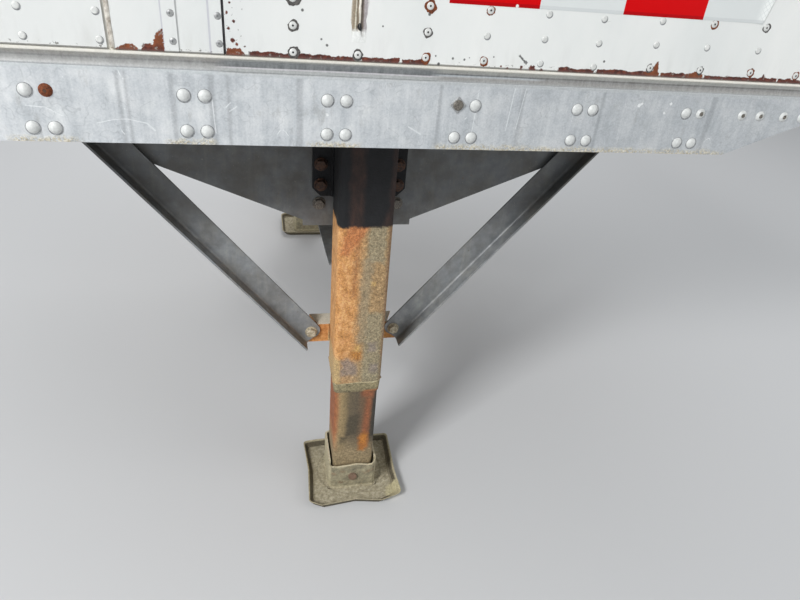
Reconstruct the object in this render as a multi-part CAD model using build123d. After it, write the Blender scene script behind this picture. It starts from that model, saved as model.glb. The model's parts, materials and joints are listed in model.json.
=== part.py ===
from build123d import *
import math
import os

# Landing gear bay of a semi trailer: two bottom rails, their cross members and floor, the lower
# strip of the riveted side sheets, and the two-leg landing gear that the trailer stands on.
#
# Frame: millimetres, +X to the front of the trailer, +Y to its left (road) side, +Z up. The origin
# is on the ground, half way between the legs, in line with their axes. Pieces are drawn on the left
# side, at positive Y, and mirrored for the right side.

# Section of the trailer
SECTION_HALF = 1130.0         # half of the length of rail that is shown
BODY_HALF_WIDTH = 1219.0      # to the outer edge of the rail's bead, 96 in overall

# Bottom rail, an aluminium extrusion
RAIL_BOTTOM = 1138.0
RAIL_TOP = 1287.0             # top of the bead that the side sheets stand behind
RAIL_WALL = 6.0
RAIL_LIP = 40.0               # width of the bottom lip that turns inboard
BEAD_PROUD = 6.0
BEAD_HEIGHT = 23.0
BEAD_EDGE = 4.0               # flat at the bead's outer edge
BEAD_RIDGE = 1.4              # small ridge under the bead's cove
UPPER_LEG_TOP = 1400.0        # the leg of the rail that is riveted behind the side sheets
STEP_START = 715.0            # the rail gets shallower in front of this place
STEP_MIDDLE = (800.0, 1172.0)
STEP_END = (880.0, 1203.0)

# Side sheets
SHEET_WALL = 3.0
SHEET_SET = 2.0               # from the rail's face in to the back of the sheets
SHEET_TOP = 1460.0
SHEET_GAP = 1.0               # between the bead and the sheet's lower edge
SEAM_REAR = (-466.0, -455.0)  # caulked seam: end of the rear sheet, start of the joint post
SEAM_FRONT = (-290.0, -286.0)
POST_PROUD = 2.0
POST_FOLDS = ((91.0, 69.0), (20.0, 0.0))  # raised folds, from the post's front edge back

# Cross members: I beams with a riveted plate at each end
BEAM_PITCH = 239.3
BEAM_FIRST = -1060.3
BEAM_COUNT = 10
BEAM_HEIGHT = 102.0
BEAM_WIDTH = 57.0
BEAM_FLANGE = 5.0
BEAM_WEB = 4.0
CLIP_WIDTH = 72.0
CLIP_WALL = 5.0

# Floor of hardwood boards
BOARD_COUNT = 8
BOARD_THICK = 35.0
BOARD_GAP = 0.6
LAP = 12.0

# Landing gear legs
LEG_Y = 940.0                 # from the middle of the trailer to the axis of a leg
TUBE = 133.0
TUBE_WALL = 6.0
TUBE_CORNER = 16.0
TUBE_TOP = 1120.0
SKIRT_TOP = 412.0             # the outer tube is swaged in below this
SKIRT_BOTTOM = 377.0
CAP_THICK = 8.0
TELESCOPE_GAP = 0.5
DROP_WALL = 7.0
DROP_TOP = 820.0              # upper end of the drop leg, inside the outer tube
DROP_BOTTOM = 30.0

# Foot: a box that the drop leg stands in, on a dished sand shoe
SHOE_LENGTH = 286.0           # along X, over the rim
SHOE_WIDTH = 270.0
SHOE_RIM = 24.0
SHOE_FLARE = 15.0
SHOE_PLATE = 6.0
SHOE_CORNER = 34.0
SHOE_EDGE = 3.0               # thickness of the rim at its top
# The near shoe has been driven on: its rim's corners, from the leg's axis, and how far each one
# has been bent out from the sole
BENT_SHOE = (
    (-137, -120, 15, 12), (-130, 3, 13, 0), (-136, 130, 15, 12), (-100, 149, 15, 0),
    (3, 139, 13, 0), (83, 153, 17, 0), (146, 132, 24, 20), (141, 34, 18, 0), (146, -128, 17, 12),
    (-91, -125, 14, 0),
)
FOOT_WALL = 6.0
FOOT_PLAY = 6.0               # between the drop leg and each wall of the foot box
FOOT_CORNER = 14.0
FOOT_TOP = 110.0
# Top edge of the foot box's front wall, worn down in use: X as a share of half its width, and Z
FOOT_FRONT = (
    (-1.0, 102.0), (-0.90, 95.0), (-0.68, 91.5), (-0.30, 93.5), (0.12, 97.5), (0.40, 95.0),
    (0.64, 91.0), (0.82, 93.0), (0.94, 102.0), (1.0, 110.0),
)
FOOT_PIN = 25.0
FOOT_PIN_Z = 52.0
FOOT_PIN_PROUD = 6.0
PIN_FIT = 0.2                 # radial clearance of pins and shafts in their holes

# Plates that carry the leg
LEG_PLATE_WALL = 10.0
LEG_PLATE_HALF = 117.0
LEG_PLATE_Z = (908.0, 1104.0)
WING_WALL = 6.0
WING_HALF_FOOT = 140.0
WING_FOOT = 824.0
WING_STEP = 840.0
WING_SLOPE = 22.5             # degrees
WING_FLANGE = 60.0
WING_RETURN = 18.0

# Braces fore and aft of each leg
BRACE_WEB = 64.0
BRACE_FLANGE = 42.0
BRACE_WALL = 5.0
BRACE_BEND = 6.0              # inner radius of the bend between web and flange
BRACE_SLOPE = 50.6            # degrees
BRACE_BOLT = (118.0, 503.0)   # X and Z of the lower bolt
BRACE_BOLT_EDGE = 27.0        # from the bolt to the web's upper edge
BRACE_END = 22.0              # from the bolt to the web's round lower end
BRACE_TOP = 1122.0
TAB_WALL = 6.0
TAB_HALF = 138.0
TAB_Z = (465.0, 523.0)
TAB_FLANGE = 56.0
TAB_FLANGE_HALF = (98.0, 119.0)
PAD_SIZE = 84.0
PAD_Z = 1086.0

# Ties that cross between the legs
TIE_LEG = 50.0
TIE_WALL = 5.0
TIE_HIGH = 655.0
TIE_LOW = 491.0
TIE_IN = 14.0                 # from the legs' plane to a tie's upright leg
TIE_CLEAR = 9.5               # from the end of a tie to the brace tab's flange
LUG_WALL = 8.0
LUG_REACH = 112.0
LUG_HEIGHT = 52.0

# Cross shaft, gearbox and crank
SHAFT_Z = 1040.0
SHAFT = 32.0
COUPLING = 46.0
COUPLING_LENGTH = 106.0
SHAFT_END = 62.0              # from the end of the cross shaft, in its sleeve, to the leg tube
SHAFT_HOLE = 56.0
GEARBOX = (140.0, 88.0, 150.0)
GEARBOX_CORNER = 20.0
GEARBOX_FLANGE = 11.0
GEARBOX_BODY = 72.0           # from the leg to the cover's joint
GEARBOX_BOSS = (62.0, 14.0)
INPUT_SHAFT = 25.0
CRANK_Y = 1180.0              # the pin that the crank folds on
TANG = (25.0, 14.0)
CRANK_BAR = 20.0
CRANK_SIDES = 12              # flats that stand for the round bar, so that its bends stay light
CRANK_REACH = 100.0
CRANK_RADIUS = 280.0
CRANK_GRIP = 140.0
CRANK_BEND = 28.0
YOKE_EAR = 7.0
YOKE_WIDTH = 26.0
YOKE_PLAY = 0.5
CRANK_PIN = 10.0
HOOK_X = -196.0
HOOK_WIDTH = 26.0
HOOK_WALL = 5.0
HOOK_PLAY = 1.0

# Sizes that follow from the ones above
FACE_Y = BODY_HALF_WIDTH - BEAD_PROUD
WEB_IN_Y = FACE_Y - RAIL_WALL
BEAM_BOTTOM = RAIL_BOTTOM + RAIL_WALL
BEAM_TOP = BEAM_BOTTOM + BEAM_HEIGHT
SHEET_BACK_Y = FACE_Y - SHEET_SET
TUBE_REAR_Y = LEG_Y - TUBE / 2
WING_OUT_Y = TUBE_REAR_Y - LEG_PLATE_WALL
DROP = TUBE - 2 * TUBE_WALL - 2 * TELESCOPE_GAP
FOOT_BOX = DROP + 2 * (FOOT_WALL + FOOT_PLAY)
TIE_END = TUBE_REAR_Y - TAB_FLANGE - TIE_CLEAR


def plate_xz(points, y_low, thick):
    """A plate parallel to the trailer's side, from its outline in X and Z."""
    outline = make_face(Polyline(*points, close=True))
    return Pos(0, y_low + thick, 0) * extrude(Plane.XZ * outline, amount=thick)


def bar_x(points, x_low, length):
    """A bar along X, from its outline in Y and Z."""
    outline = make_face(Polyline(*points, close=True))
    return Pos(x_low, 0, 0) * extrude(Plane.YZ * outline, amount=length)


def block(x, y, z):
    """A box from its low and high X, Y and Z."""
    middle = Pos((x[0] + x[1]) / 2, (y[0] + y[1]) / 2, (z[0] + z[1]) / 2)
    return middle * Box(x[1] - x[0], y[1] - y[0], z[1] - z[0])


def rod_y(x, z, y_low, y_high, diameter):
    """A round bar along Y."""
    return Pos(x, (y_low + y_high) / 2, z) * Rot(90, 0, 0) * Cylinder(diameter / 2, y_high - y_low)


def square_tube(size, wall, corner, z_low, z_high):
    """A square tube with round corners, standing on the leg's axis."""
    outer = RectangleRounded(size, size, corner)
    inner = RectangleRounded(size - 2 * wall, size - 2 * wall, corner - wall)
    return Pos(0, LEG_Y, z_low) * extrude(outer - inner, amount=z_high - z_low)


def rail():
    """The bottom rail: web, inboard lip, coved bead and the leg behind the side sheets."""
    bead_low = (FACE_Y + BEAD_RIDGE, RAIL_TOP - BEAD_HEIGHT)
    bead_high = (BODY_HALF_WIDTH, RAIL_TOP - BEAD_EDGE)
    cove_middle = (FACE_Y + BEAD_PROUD * 0.16, RAIL_TOP - BEAD_HEIGHT * 0.50)
    lip_in = WEB_IN_Y - RAIL_LIP
    outline = [
        Polyline((FACE_Y, RAIL_BOTTOM), (FACE_Y, bead_low[1] - 3), (bead_low[0], bead_low[1] - 1.5)),
        Line((bead_low[0], bead_low[1] - 1.5), bead_low),
        ThreePointArc(bead_low, cove_middle, bead_high),
        Polyline(
            bead_high,
            (BODY_HALF_WIDTH, RAIL_TOP),
            (SHEET_BACK_Y, RAIL_TOP),
            (SHEET_BACK_Y, UPPER_LEG_TOP),
            (WEB_IN_Y, UPPER_LEG_TOP),
            (WEB_IN_Y, BEAM_BOTTOM),
            (lip_in, BEAM_BOTTOM),
            (lip_in, RAIL_BOTTOM),
            (FACE_Y, RAIL_BOTTOM),
        ),
    ]
    solid = extrude(Plane.YZ * make_face(outline), amount=2 * SECTION_HALF)
    solid = Pos(-SECTION_HALF, 0, 0) * solid
    below = RAIL_BOTTOM - 10
    ahead = SECTION_HALF + 10
    rise = math.atan2(STEP_MIDDLE[1] - RAIL_BOTTOM, STEP_MIDDLE[0] - STEP_START)
    start = (STEP_START, RAIL_BOTTOM)
    step = [
        Line(start, STEP_MIDDLE),
        TangentArc(STEP_MIDDLE, STEP_END, tangent=(math.cos(rise), math.sin(rise))),
        Polyline(STEP_END, (ahead, STEP_END[1]), (ahead, below), (STEP_START, below), start),
    ]
    cut = extrude(Plane.XZ * make_face(step), amount=RAIL_LIP + RAIL_WALL + 60)
    return solid - Pos(0, BODY_HALF_WIDTH + 20, 0) * cut


def side_sheet(x_low, x_high, proud=0.0):
    """A strip of side sheet, standing on the rail's bead."""
    y = (SHEET_BACK_Y, SHEET_BACK_Y + SHEET_WALL + proud)
    return block((x_low, x_high), y, (RAIL_TOP + SHEET_GAP, SHEET_TOP))


def joint_post():
    """The post between the two sheets, with a raised fold along each riveted edge."""
    x_low, x_high = SEAM_REAR[1], SEAM_FRONT[0]
    base = side_sheet(x_low, x_high)
    for low, high in POST_FOLDS:
        base += side_sheet(x_high - low, x_high - high, POST_PROUD)
    return base


def cross_member(x, bottom):
    """An I beam across the trailer with a clip plate against each rail."""
    half = BEAM_WIDTH / 2
    reach = WEB_IN_Y - CLIP_WALL
    across = (-reach, reach)
    beam = block((x - half, x + half), across, (bottom, bottom + BEAM_FLANGE))
    beam += block((x - half, x + half), across, (BEAM_TOP - BEAM_FLANGE, BEAM_TOP))
    beam += block((x - BEAM_WEB / 2, x + BEAM_WEB / 2), across, (bottom, BEAM_TOP))
    for side in (-1, 1):
        y = sorted((side * reach, side * WEB_IN_Y))
        beam += block((x - CLIP_WIDTH / 2, x + CLIP_WIDTH / 2), y, (bottom, BEAM_TOP))
    return beam


def floor_boards():
    """Shiplapped boards along the trailer, each a solid of its own."""
    pitch = 2 * WEB_IN_Y / BOARD_COUNT
    z_low, z_high = BEAM_TOP, BEAM_TOP + BOARD_THICK
    z_lap = (z_low + z_high) / 2
    boards = []
    for number in range(BOARD_COUNT):
        left = -WEB_IN_Y + number * pitch + BOARD_GAP / 2
        right = left + pitch - BOARD_GAP
        lap_left = 0 if number == 0 else LAP
        lap_right = 0 if number == BOARD_COUNT - 1 else LAP
        outline = [(left, z_low), (right, z_low)]
        if lap_right:
            outline += [(right, z_lap), (right - LAP, z_lap)]
        outline += [(right - lap_right, z_high), (left - lap_left, z_high)]
        if lap_left:
            outline += [(left - LAP, z_lap + BOARD_GAP), (left, z_lap + BOARD_GAP)]
        boards.append(bar_x(outline, -SECTION_HALF, 2 * SECTION_HALF))
    return Compound(children=boards)


def outer_leg():
    """The fixed tube of a leg, swaged in at its lower end and capped at the top."""
    tube = square_tube(TUBE, TUBE_WALL, TUBE_CORNER, SKIRT_TOP, TUBE_TOP)
    inside = TUBE - 2 * TUBE_WALL
    wide = Pos(0, LEG_Y, SKIRT_TOP) * RectangleRounded(TUBE, TUBE, TUBE_CORNER)
    narrow = Pos(0, LEG_Y, SKIRT_BOTTOM) * RectangleRounded(inside + 5, inside + 5, TUBE_CORNER - 4)
    skirt = loft([narrow, wide])
    bore = RectangleRounded(inside, inside, TUBE_CORNER - TUBE_WALL)
    skirt -= Pos(0, LEG_Y, SKIRT_BOTTOM) * extrude(bore, amount=SKIRT_TOP - SKIRT_BOTTOM)
    cap = Pos(0, LEG_Y, TUBE_TOP) * extrude(RectangleRounded(TUBE, TUBE, TUBE_CORNER), amount=CAP_THICK)
    return tube + skirt + cap


def drop_leg():
    """The tube that slides in the outer leg and stands in the foot."""
    tube = square_tube(DROP, DROP_WALL, TUBE_CORNER - TUBE_WALL, DROP_BOTTOM, DROP_TOP)
    pin_hole = rod_y(0, FOOT_PIN_Z, LEG_Y - TUBE, LEG_Y + TUBE, FOOT_PIN + 2 * PIN_FIT)
    return tube - pin_hole


def shoe_form(inset, z, flare):
    """A sound shoe's outline at a height, from its flare out from the sole and its wall's inset."""
    length = SHOE_LENGTH - 2 * SHOE_FLARE + 2 * flare - 2 * inset
    width = SHOE_WIDTH - 2 * SHOE_FLARE + 2 * flare - 2 * inset
    return Pos(0, LEG_Y, z) * RectangleRounded(length, width, SHOE_CORNER - inset)


def sand_shoe():
    """The dished plate on the ground."""
    over = SHOE_FLARE * SHOE_RIM / (SHOE_RIM - SHOE_PLATE)
    outer = loft([shoe_form(0, 0, 0), shoe_form(0, SHOE_RIM, SHOE_FLARE)], ruled=True)
    inner_forms = [shoe_form(SHOE_EDGE, SHOE_PLATE, 0), shoe_form(SHOE_EDGE, SHOE_RIM + SHOE_PLATE, over)]
    return outer - loft(inner_forms, ruled=True)


def shoe_outline(rim_share, inset, z):
    """The bent shoe's outline part way up from its sole (0) to its rim (1), moved in by an inset."""
    points = []
    for x, y, bend, _ in BENT_SHOE:
        away = math.hypot(x, y)
        kept = (away - (1 - rim_share) * bend - inset) / away
        points.append((x * kept, y * kept))
    outline = make_face(Polyline(*points, close=True))
    for point, (_, _, _, corner) in zip(points, BENT_SHOE):
        if corner:
            outline = fillet(outline.vertices().sort_by_distance(point)[0], corner)
    return Pos(0, 0, z) * outline


def bent_shoe():
    """The near shoe, with its rim bent out of shape."""
    outer = loft([shoe_outline(0, 0, 0), shoe_outline(1, 0, SHOE_RIM)], ruled=True)
    over = SHOE_RIM / (SHOE_RIM - SHOE_PLATE)
    inner = loft(
        [shoe_outline(0, SHOE_EDGE, SHOE_PLATE), shoe_outline(over, SHOE_EDGE, SHOE_RIM + SHOE_PLATE)],
        ruled=True,
    )
    return Pos(0, LEG_Y, 0) * (outer - inner)


def foot_box():
    """The open box on the shoe that takes the drop leg and its pin."""
    half = FOOT_BOX / 2
    outer = extrude(RectangleRounded(FOOT_BOX, FOOT_BOX, FOOT_CORNER), amount=FOOT_TOP - SHOE_PLATE)
    hole = FOOT_BOX - 2 * FOOT_WALL
    inner = extrude(RectangleRounded(hole, hole, FOOT_CORNER - FOOT_WALL), amount=FOOT_TOP)
    box = Pos(0, LEG_Y, SHOE_PLATE) * (outer - Pos(0, 0, FOOT_WALL) * inner)
    edge = [(share * half, z) for share, z in FOOT_FRONT]
    above = FOOT_TOP + 20
    edge += [(half + 5, edge[-1][1]), (half + 5, above), (-half - 5, above), (-half - 5, edge[0][1])]
    worn = extrude(Plane.XZ * make_face(Polyline(*edge, close=True)), amount=-(FOOT_WALL + FOOT_CORNER))
    box -= Pos(0, LEG_Y + half - FOOT_CORNER, 0) * worn
    return box - rod_y(0, FOOT_PIN_Z, LEG_Y - FOOT_BOX, LEG_Y + FOOT_BOX, FOOT_PIN + 2 * PIN_FIT)


def foot_pin():
    """The pin through the foot box and the drop leg."""
    reach = FOOT_BOX / 2 + FOOT_PIN_PROUD
    return rod_y(0, FOOT_PIN_Z, LEG_Y - reach, LEG_Y + reach, FOOT_PIN)


def leg_plate():
    """The plate welded to the back of the outer leg, which is bolted to the wing plate."""
    z_low, z_high = LEG_PLATE_Z
    half = LEG_PLATE_HALF
    corner = 20
    outline = [
        (-half + corner, z_low),
        (half - corner, z_low),
        (half, z_low + corner),
        (half, z_high),
        (-half, z_high),
        (-half, z_low + corner),
    ]
    plate = plate_xz(outline, WING_OUT_Y, LEG_PLATE_WALL)
    return plate - rod_y(0, SHAFT_Z, WING_OUT_Y - 2, TUBE_REAR_Y + 2, SHAFT_HOLE)


def wing_plate():
    """The plate under the cross members that carries a leg, with its folded edges and brace pads."""
    top = BEAM_BOTTOM
    run = (top - WING_STEP) / math.tan(math.radians(WING_SLOPE))
    foot, tip = WING_HALF_FOOT, WING_HALF_FOOT + run
    outline = [
        (-foot, WING_FOOT), (foot, WING_FOOT), (foot, WING_STEP), (tip, top), (-tip, top), (-foot, WING_STEP),
    ]
    plate = plate_xz(outline, WING_OUT_Y - WING_WALL, WING_WALL)
    plate += block((-tip, tip), (WING_OUT_Y - WING_FLANGE, WING_OUT_Y), (top - WING_WALL, top))
    rise = WING_WALL / math.cos(math.radians(WING_SLOPE))
    for side in (-1, 1):
        fold = [
            (side * foot, WING_STEP),
            (side * tip, top),
            (side * tip, top + rise),
            (side * foot, WING_STEP + rise),
        ]
        strip = plate_xz(fold, WING_OUT_Y - WING_RETURN, WING_RETURN - 1)
        plate += strip & block((-tip, tip), (0, BODY_HALF_WIDTH), (0, top))
        x, _ = brace_point(PAD_Z)
        pad = (side * x - PAD_SIZE / 2, side * x + PAD_SIZE / 2)
        y = (WING_OUT_Y, TUBE_REAR_Y)
        plate += block(pad, y, (PAD_Z - 26, top - 8))
    return plate - rod_y(0, SHAFT_Z, WING_OUT_Y - 10, WING_OUT_Y + 2, SHAFT_HOLE)


def brace_point(z):
    """X and Z on the line of a brace through its lower bolt, at a height."""
    x = BRACE_BOLT[0] + (z - BRACE_BOLT[1]) / math.tan(math.radians(BRACE_SLOPE))
    return x, z


def brace(side):
    """A bent angle from the tab on the leg up to the wing plate; side is 1 in front and -1 behind."""
    length = (BRACE_TOP - BRACE_BOLT[1]) / math.sin(math.radians(BRACE_SLOPE))
    low = BRACE_BOLT_EDGE - BRACE_WEB
    section = make_face(
        FilletPolyline(
            (0, BRACE_BOLT_EDGE), (0, low), (BRACE_FLANGE, low),
            radius=BRACE_BEND + BRACE_WALL,
        ).edges()
        + Polyline((BRACE_FLANGE, low), (BRACE_FLANGE, low + BRACE_WALL)).edges()
        + FilletPolyline(
            (BRACE_FLANGE, low + BRACE_WALL), (BRACE_WALL, low + BRACE_WALL), (BRACE_WALL, BRACE_BOLT_EDGE),
            radius=BRACE_BEND,
        ).edges()
        + Polyline((BRACE_WALL, BRACE_BOLT_EDGE), (0, BRACE_BOLT_EDGE)).edges()
    )
    angle = Pos(-BRACE_END, 0, 0) * extrude(Plane.YZ * section, amount=length + BRACE_END)
    web = Polyline((0, BRACE_BOLT_EDGE), (length, BRACE_BOLT_EDGE), (length, low), (-BRACE_END, low))
    corner = ThreePointArc(
        (-BRACE_END, low),
        (-BRACE_END * 0.9, low / 2),
        (-BRACE_END, 0),
    )
    tip = ThreePointArc(
        (-BRACE_END, 0),
        (-BRACE_END * math.cos(math.radians(50)), BRACE_BOLT_EDGE * math.sin(math.radians(50))),
        (0, BRACE_BOLT_EDGE),
    )
    angle &= extrude(Plane.XZ * make_face([web, corner, tip]), amount=-BRACE_FLANGE)
    angle = Pos(BRACE_BOLT[0], TUBE_REAR_Y, BRACE_BOLT[1]) * Rot(0, -BRACE_SLOPE, 0) * angle
    angle &= block((0, SECTION_HALF), (0, BODY_HALF_WIDTH), (0, BRACE_TOP))
    return angle if side > 0 else mirror(angle, about=Plane.YZ)


def brace_tab():
    """The bracket across the back of a leg that both braces are bolted to."""
    z_low, z_high = TAB_Z
    y_in = TUBE_REAR_Y - TAB_WALL
    tab = block((-TAB_HALF, TAB_HALF), (y_in, TUBE_REAR_Y), (z_low, z_high))
    near, far = TAB_FLANGE_HALF
    y_far = TUBE_REAR_Y - TAB_FLANGE
    points = [(-near, TUBE_REAR_Y), (-far, y_far), (far, y_far), (near, TUBE_REAR_Y)]
    flange = extrude(make_face(Polyline(*points, close=True)), amount=TAB_WALL)
    return tab + Pos(0, 0, z_high - TAB_WALL) * flange


def tie_lug(x, z):
    """A lug on the inboard face of a leg, or on the brace tab there, that takes the end of a tie."""
    on_tab = z < TAB_Z[1]
    y = (TUBE_REAR_Y - LUG_REACH, TUBE_REAR_Y - (TAB_WALL if on_tab else 0))
    top = TAB_Z[1] - TAB_WALL if on_tab else z + LUG_HEIGHT / 2
    return block((x, x + LUG_WALL), y, (top - LUG_HEIGHT, top))


def cross_tie(side):
    """An angle between the legs. Side 1 is behind and low on the left, -1 in front and low on the right."""
    fall = math.atan2(TIE_HIGH - TIE_LOW, 2 * TIE_END)
    length = 2 * TIE_END / math.cos(fall)
    upright = block((-TIE_IN - TIE_WALL, -TIE_IN), (-length / 2, length / 2), (-TIE_LEG / 2, TIE_LEG / 2))
    edge = TIE_LEG / 2
    flat = block((-TIE_IN - TIE_LEG, -TIE_IN), (-length / 2, length / 2), (edge - TIE_WALL, edge))
    angle = Pos(0, 0, (TIE_HIGH + TIE_LOW) / 2) * Rot(-math.degrees(fall), 0, 0) * (upright + flat)
    return angle if side > 0 else Rot(0, 0, 180) * angle


def tie_lugs(leg_side):
    """Both lugs of one leg: the left leg holds the low end of the rear tie."""
    rear, front = (TIE_LOW, TIE_HIGH) if leg_side > 0 else (TIE_HIGH, TIE_LOW)
    lugs = tie_lug(-TIE_IN, rear), tie_lug(TIE_IN - LUG_WALL, front)
    return Compound(children=list(lugs))


def cross_shaft():
    """The shaft that turns both legs together."""
    reach = TUBE_REAR_Y - SHAFT_END
    return rod_y(0, SHAFT_Z, -reach, reach, SHAFT)


def coupling():
    """The sleeve that joins the cross shaft to a leg, through the plates' holes up to the tube."""
    sleeve = rod_y(0, SHAFT_Z, TUBE_REAR_Y - COUPLING_LENGTH, TUBE_REAR_Y, COUPLING)
    return sleeve - rod_y(0, SHAFT_Z, 0, TUBE_REAR_Y - SHAFT_END + PIN_FIT, SHAFT + 2 * PIN_FIT)


def gearbox():
    """The cast housing on the outboard face of the left leg: flange, body, bolted cover and boss."""
    wide, deep, high = GEARBOX
    y_low = LEG_Y + TUBE / 2
    layers = [
        (wide + 20, high + 24, 0, GEARBOX_FLANGE),
        (wide - 12, high - 12, 0, GEARBOX_BODY),
        (wide, high, GEARBOX_BODY, deep),
    ]
    casting = rod_y(0, SHAFT_Z, y_low, y_low + deep + GEARBOX_BOSS[1], GEARBOX_BOSS[0])
    for length, height, start, end in layers:
        outline = RectangleRounded(length, height, GEARBOX_CORNER)
        casting += Pos(0, y_low + start, SHAFT_Z) * extrude(Plane.XZ * outline, amount=start - end)
    return casting


def input_shaft():
    """The shaft that the crank turns, with a flat tang at its outer end."""
    y_low = LEG_Y + TUBE / 2 + GEARBOX[1] + GEARBOX_BOSS[1]
    tang_long = 2 * TANG[0]
    shaft = rod_y(0, SHAFT_Z, y_low, CRANK_Y - tang_long / 2 + 4, INPUT_SHAFT)
    half, thick = TANG[0] / 2, TANG[1] / 2
    tang = block((-half, half), (CRANK_Y - tang_long / 2, CRANK_Y), (SHAFT_Z - thick, SHAFT_Z + thick))
    tang += Pos(0, CRANK_Y, SHAFT_Z) * Cylinder(half, 2 * thick)
    return shaft + tang - Pos(0, CRANK_Y, SHAFT_Z) * Cylinder(CRANK_PIN / 2 + PIN_FIT, 60)


def crank():
    """The folding crank as it is stowed: yoke and pin, then one bent bar with its grip."""
    inner = TANG[1] / 2 + YOKE_PLAY
    ears = []
    for side in (-1, 1):
        ear = block((-YOKE_WIDTH - 12, 0), (-YOKE_WIDTH / 2, YOKE_WIDTH / 2), (0, YOKE_EAR))
        ear += Pos(0, 0, YOKE_EAR / 2) * Cylinder(YOKE_WIDTH / 2, YOKE_EAR)
        ears.append(Pos(0, 0, inner if side > 0 else -inner - YOKE_EAR) * ear)
    high = inner + YOKE_EAR
    bridge = block((-YOKE_WIDTH - 18, -YOKE_WIDTH / 2 - 8), (-YOKE_WIDTH / 2, YOKE_WIDTH / 2), (-high, high))
    pin = Cylinder(CRANK_PIN / 2, 2 * high)
    corners = [
        (-YOKE_WIDTH, 0, 0),
        (-CRANK_REACH, 0, 0),
        (-CRANK_REACH, -CRANK_RADIUS, 0),
        (-CRANK_REACH - CRANK_GRIP, -CRANK_RADIUS, 0),
    ]
    path = FilletPolyline(*corners, radius=CRANK_BEND)
    section = Plane(origin=corners[0], z_dir=(-1, 0, 0)) * RegularPolygon(CRANK_BAR / 2, CRANK_SIDES)
    bar = sweep(section, path=path)
    return Pos(0, CRANK_Y, SHAFT_Z) * (ears[0] + ears[1] + bridge + pin + bar)


def crank_hook():
    """The clip on the wing plate that holds the stowed crank's grip, open to the outside."""
    grip_y = CRANK_Y - CRANK_RADIUS
    half = CRANK_BAR / 2 + HOOK_PLAY
    y_back = grip_y - half
    x = (HOOK_X - HOOK_WIDTH / 2, HOOK_X + HOOK_WIDTH / 2)
    low = block(x, (WING_OUT_Y, grip_y + half), (SHAFT_Z - half - HOOK_WALL, SHAFT_Z - half))
    high = block(x, (y_back - HOOK_WALL, grip_y + half), (SHAFT_Z + half, SHAFT_Z + half + HOOK_WALL))
    back = block(x, (y_back - HOOK_WALL, y_back), (SHAFT_Z - half - HOOK_WALL, SHAFT_Z + half + HOOK_WALL))
    foot = block(x, (WING_OUT_Y, WING_OUT_Y + HOOK_WALL), (SHAFT_Z - half - 44, SHAFT_Z - half))
    return low + high + back + foot


def right(shape):
    """The same piece on the right side of the trailer."""
    return mirror(shape, about=Plane.XZ)


def pieces():
    """Every named piece of the bay."""
    parts = {}
    both_sides = {
        "rail": rail(),
        "rear_side_sheet": side_sheet(-SECTION_HALF, SEAM_REAR[0]),
        "side_joint_post": joint_post(),
        "front_side_sheet": side_sheet(SEAM_FRONT[1], SECTION_HALF),
        "outer_leg": outer_leg(),
        "drop_leg": drop_leg(),
        "foot_box": foot_box(),
        "foot_pin": foot_pin(),
        "sand_shoe": sand_shoe(),
        "leg_plate": leg_plate(),
        "wing_plate": wing_plate(),
        "brace_tab": brace_tab(),
        "front_brace": brace(1),
        "rear_brace": brace(-1),
        "shaft_coupling": coupling(),
    }
    for name, shape in both_sides.items():
        parts[f"left_{name}"] = shape
        parts[f"right_{name}"] = right(shape)
    parts["right_sand_shoe"] = right(bent_shoe())
    for number in range(BEAM_COUNT):
        x = BEAM_FIRST + number * BEAM_PITCH
        shallow = x > STEP_END[0] - BEAM_PITCH / 2
        bottom = STEP_END[1] if shallow else BEAM_BOTTOM
        parts[f"cross_member_{number + 1}"] = cross_member(x, bottom)
    parts["floor_boards"] = floor_boards()
    parts["rear_cross_tie"] = cross_tie(1)
    parts["front_cross_tie"] = cross_tie(-1)
    parts["left_tie_lugs"] = tie_lugs(1)
    parts["right_tie_lugs"] = right(tie_lugs(-1))
    parts["cross_shaft"] = cross_shaft()
    parts["gearbox"] = gearbox()
    parts["input_shaft"] = input_shaft()
    parts["crank"] = crank()
    parts["crank_hook"] = crank_hook()
    return parts


if __name__ == "__main__":
    os.makedirs("parts", exist_ok=True)
    for name, shape in pieces().items():
        export_step(shape, f"parts/{name}.step")
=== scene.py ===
"""Finishes, rivets, bolts, welds, tape and sealant of a semi trailer's landing gear bay."""
import json
import math
import random
import bmesh
import bpy
from mathutils import Matrix, Vector


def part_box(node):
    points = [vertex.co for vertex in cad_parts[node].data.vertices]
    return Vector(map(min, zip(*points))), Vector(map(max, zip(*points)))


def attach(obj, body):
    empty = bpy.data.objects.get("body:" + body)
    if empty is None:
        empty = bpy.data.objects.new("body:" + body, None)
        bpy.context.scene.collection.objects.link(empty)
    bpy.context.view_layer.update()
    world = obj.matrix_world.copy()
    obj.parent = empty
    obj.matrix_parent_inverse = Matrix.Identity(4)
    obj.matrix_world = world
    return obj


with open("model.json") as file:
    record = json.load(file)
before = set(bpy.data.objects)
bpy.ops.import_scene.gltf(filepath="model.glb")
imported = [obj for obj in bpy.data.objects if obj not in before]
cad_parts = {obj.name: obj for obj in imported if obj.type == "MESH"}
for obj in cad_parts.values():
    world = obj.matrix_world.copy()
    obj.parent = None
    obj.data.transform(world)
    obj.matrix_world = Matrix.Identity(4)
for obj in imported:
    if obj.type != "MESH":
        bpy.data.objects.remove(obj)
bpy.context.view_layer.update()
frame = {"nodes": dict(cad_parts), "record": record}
NODES = frame["nodes"]

MM = 0.001
AHEAD, UP = (1, 0, 0), (0, 0, 1)
SIDES = {"right": -1, "left": 1}
SCATTER = random.Random(7)

# The camera: the photograph's eye point, its angles in degrees, and its lens on a frame 36 mm wide
EYE = Vector((-0.2326, -2.2944, 1.4747))
YAW, PITCH, ROLL = 14.42, 30.97, 5.51
LENS = 27.05

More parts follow.
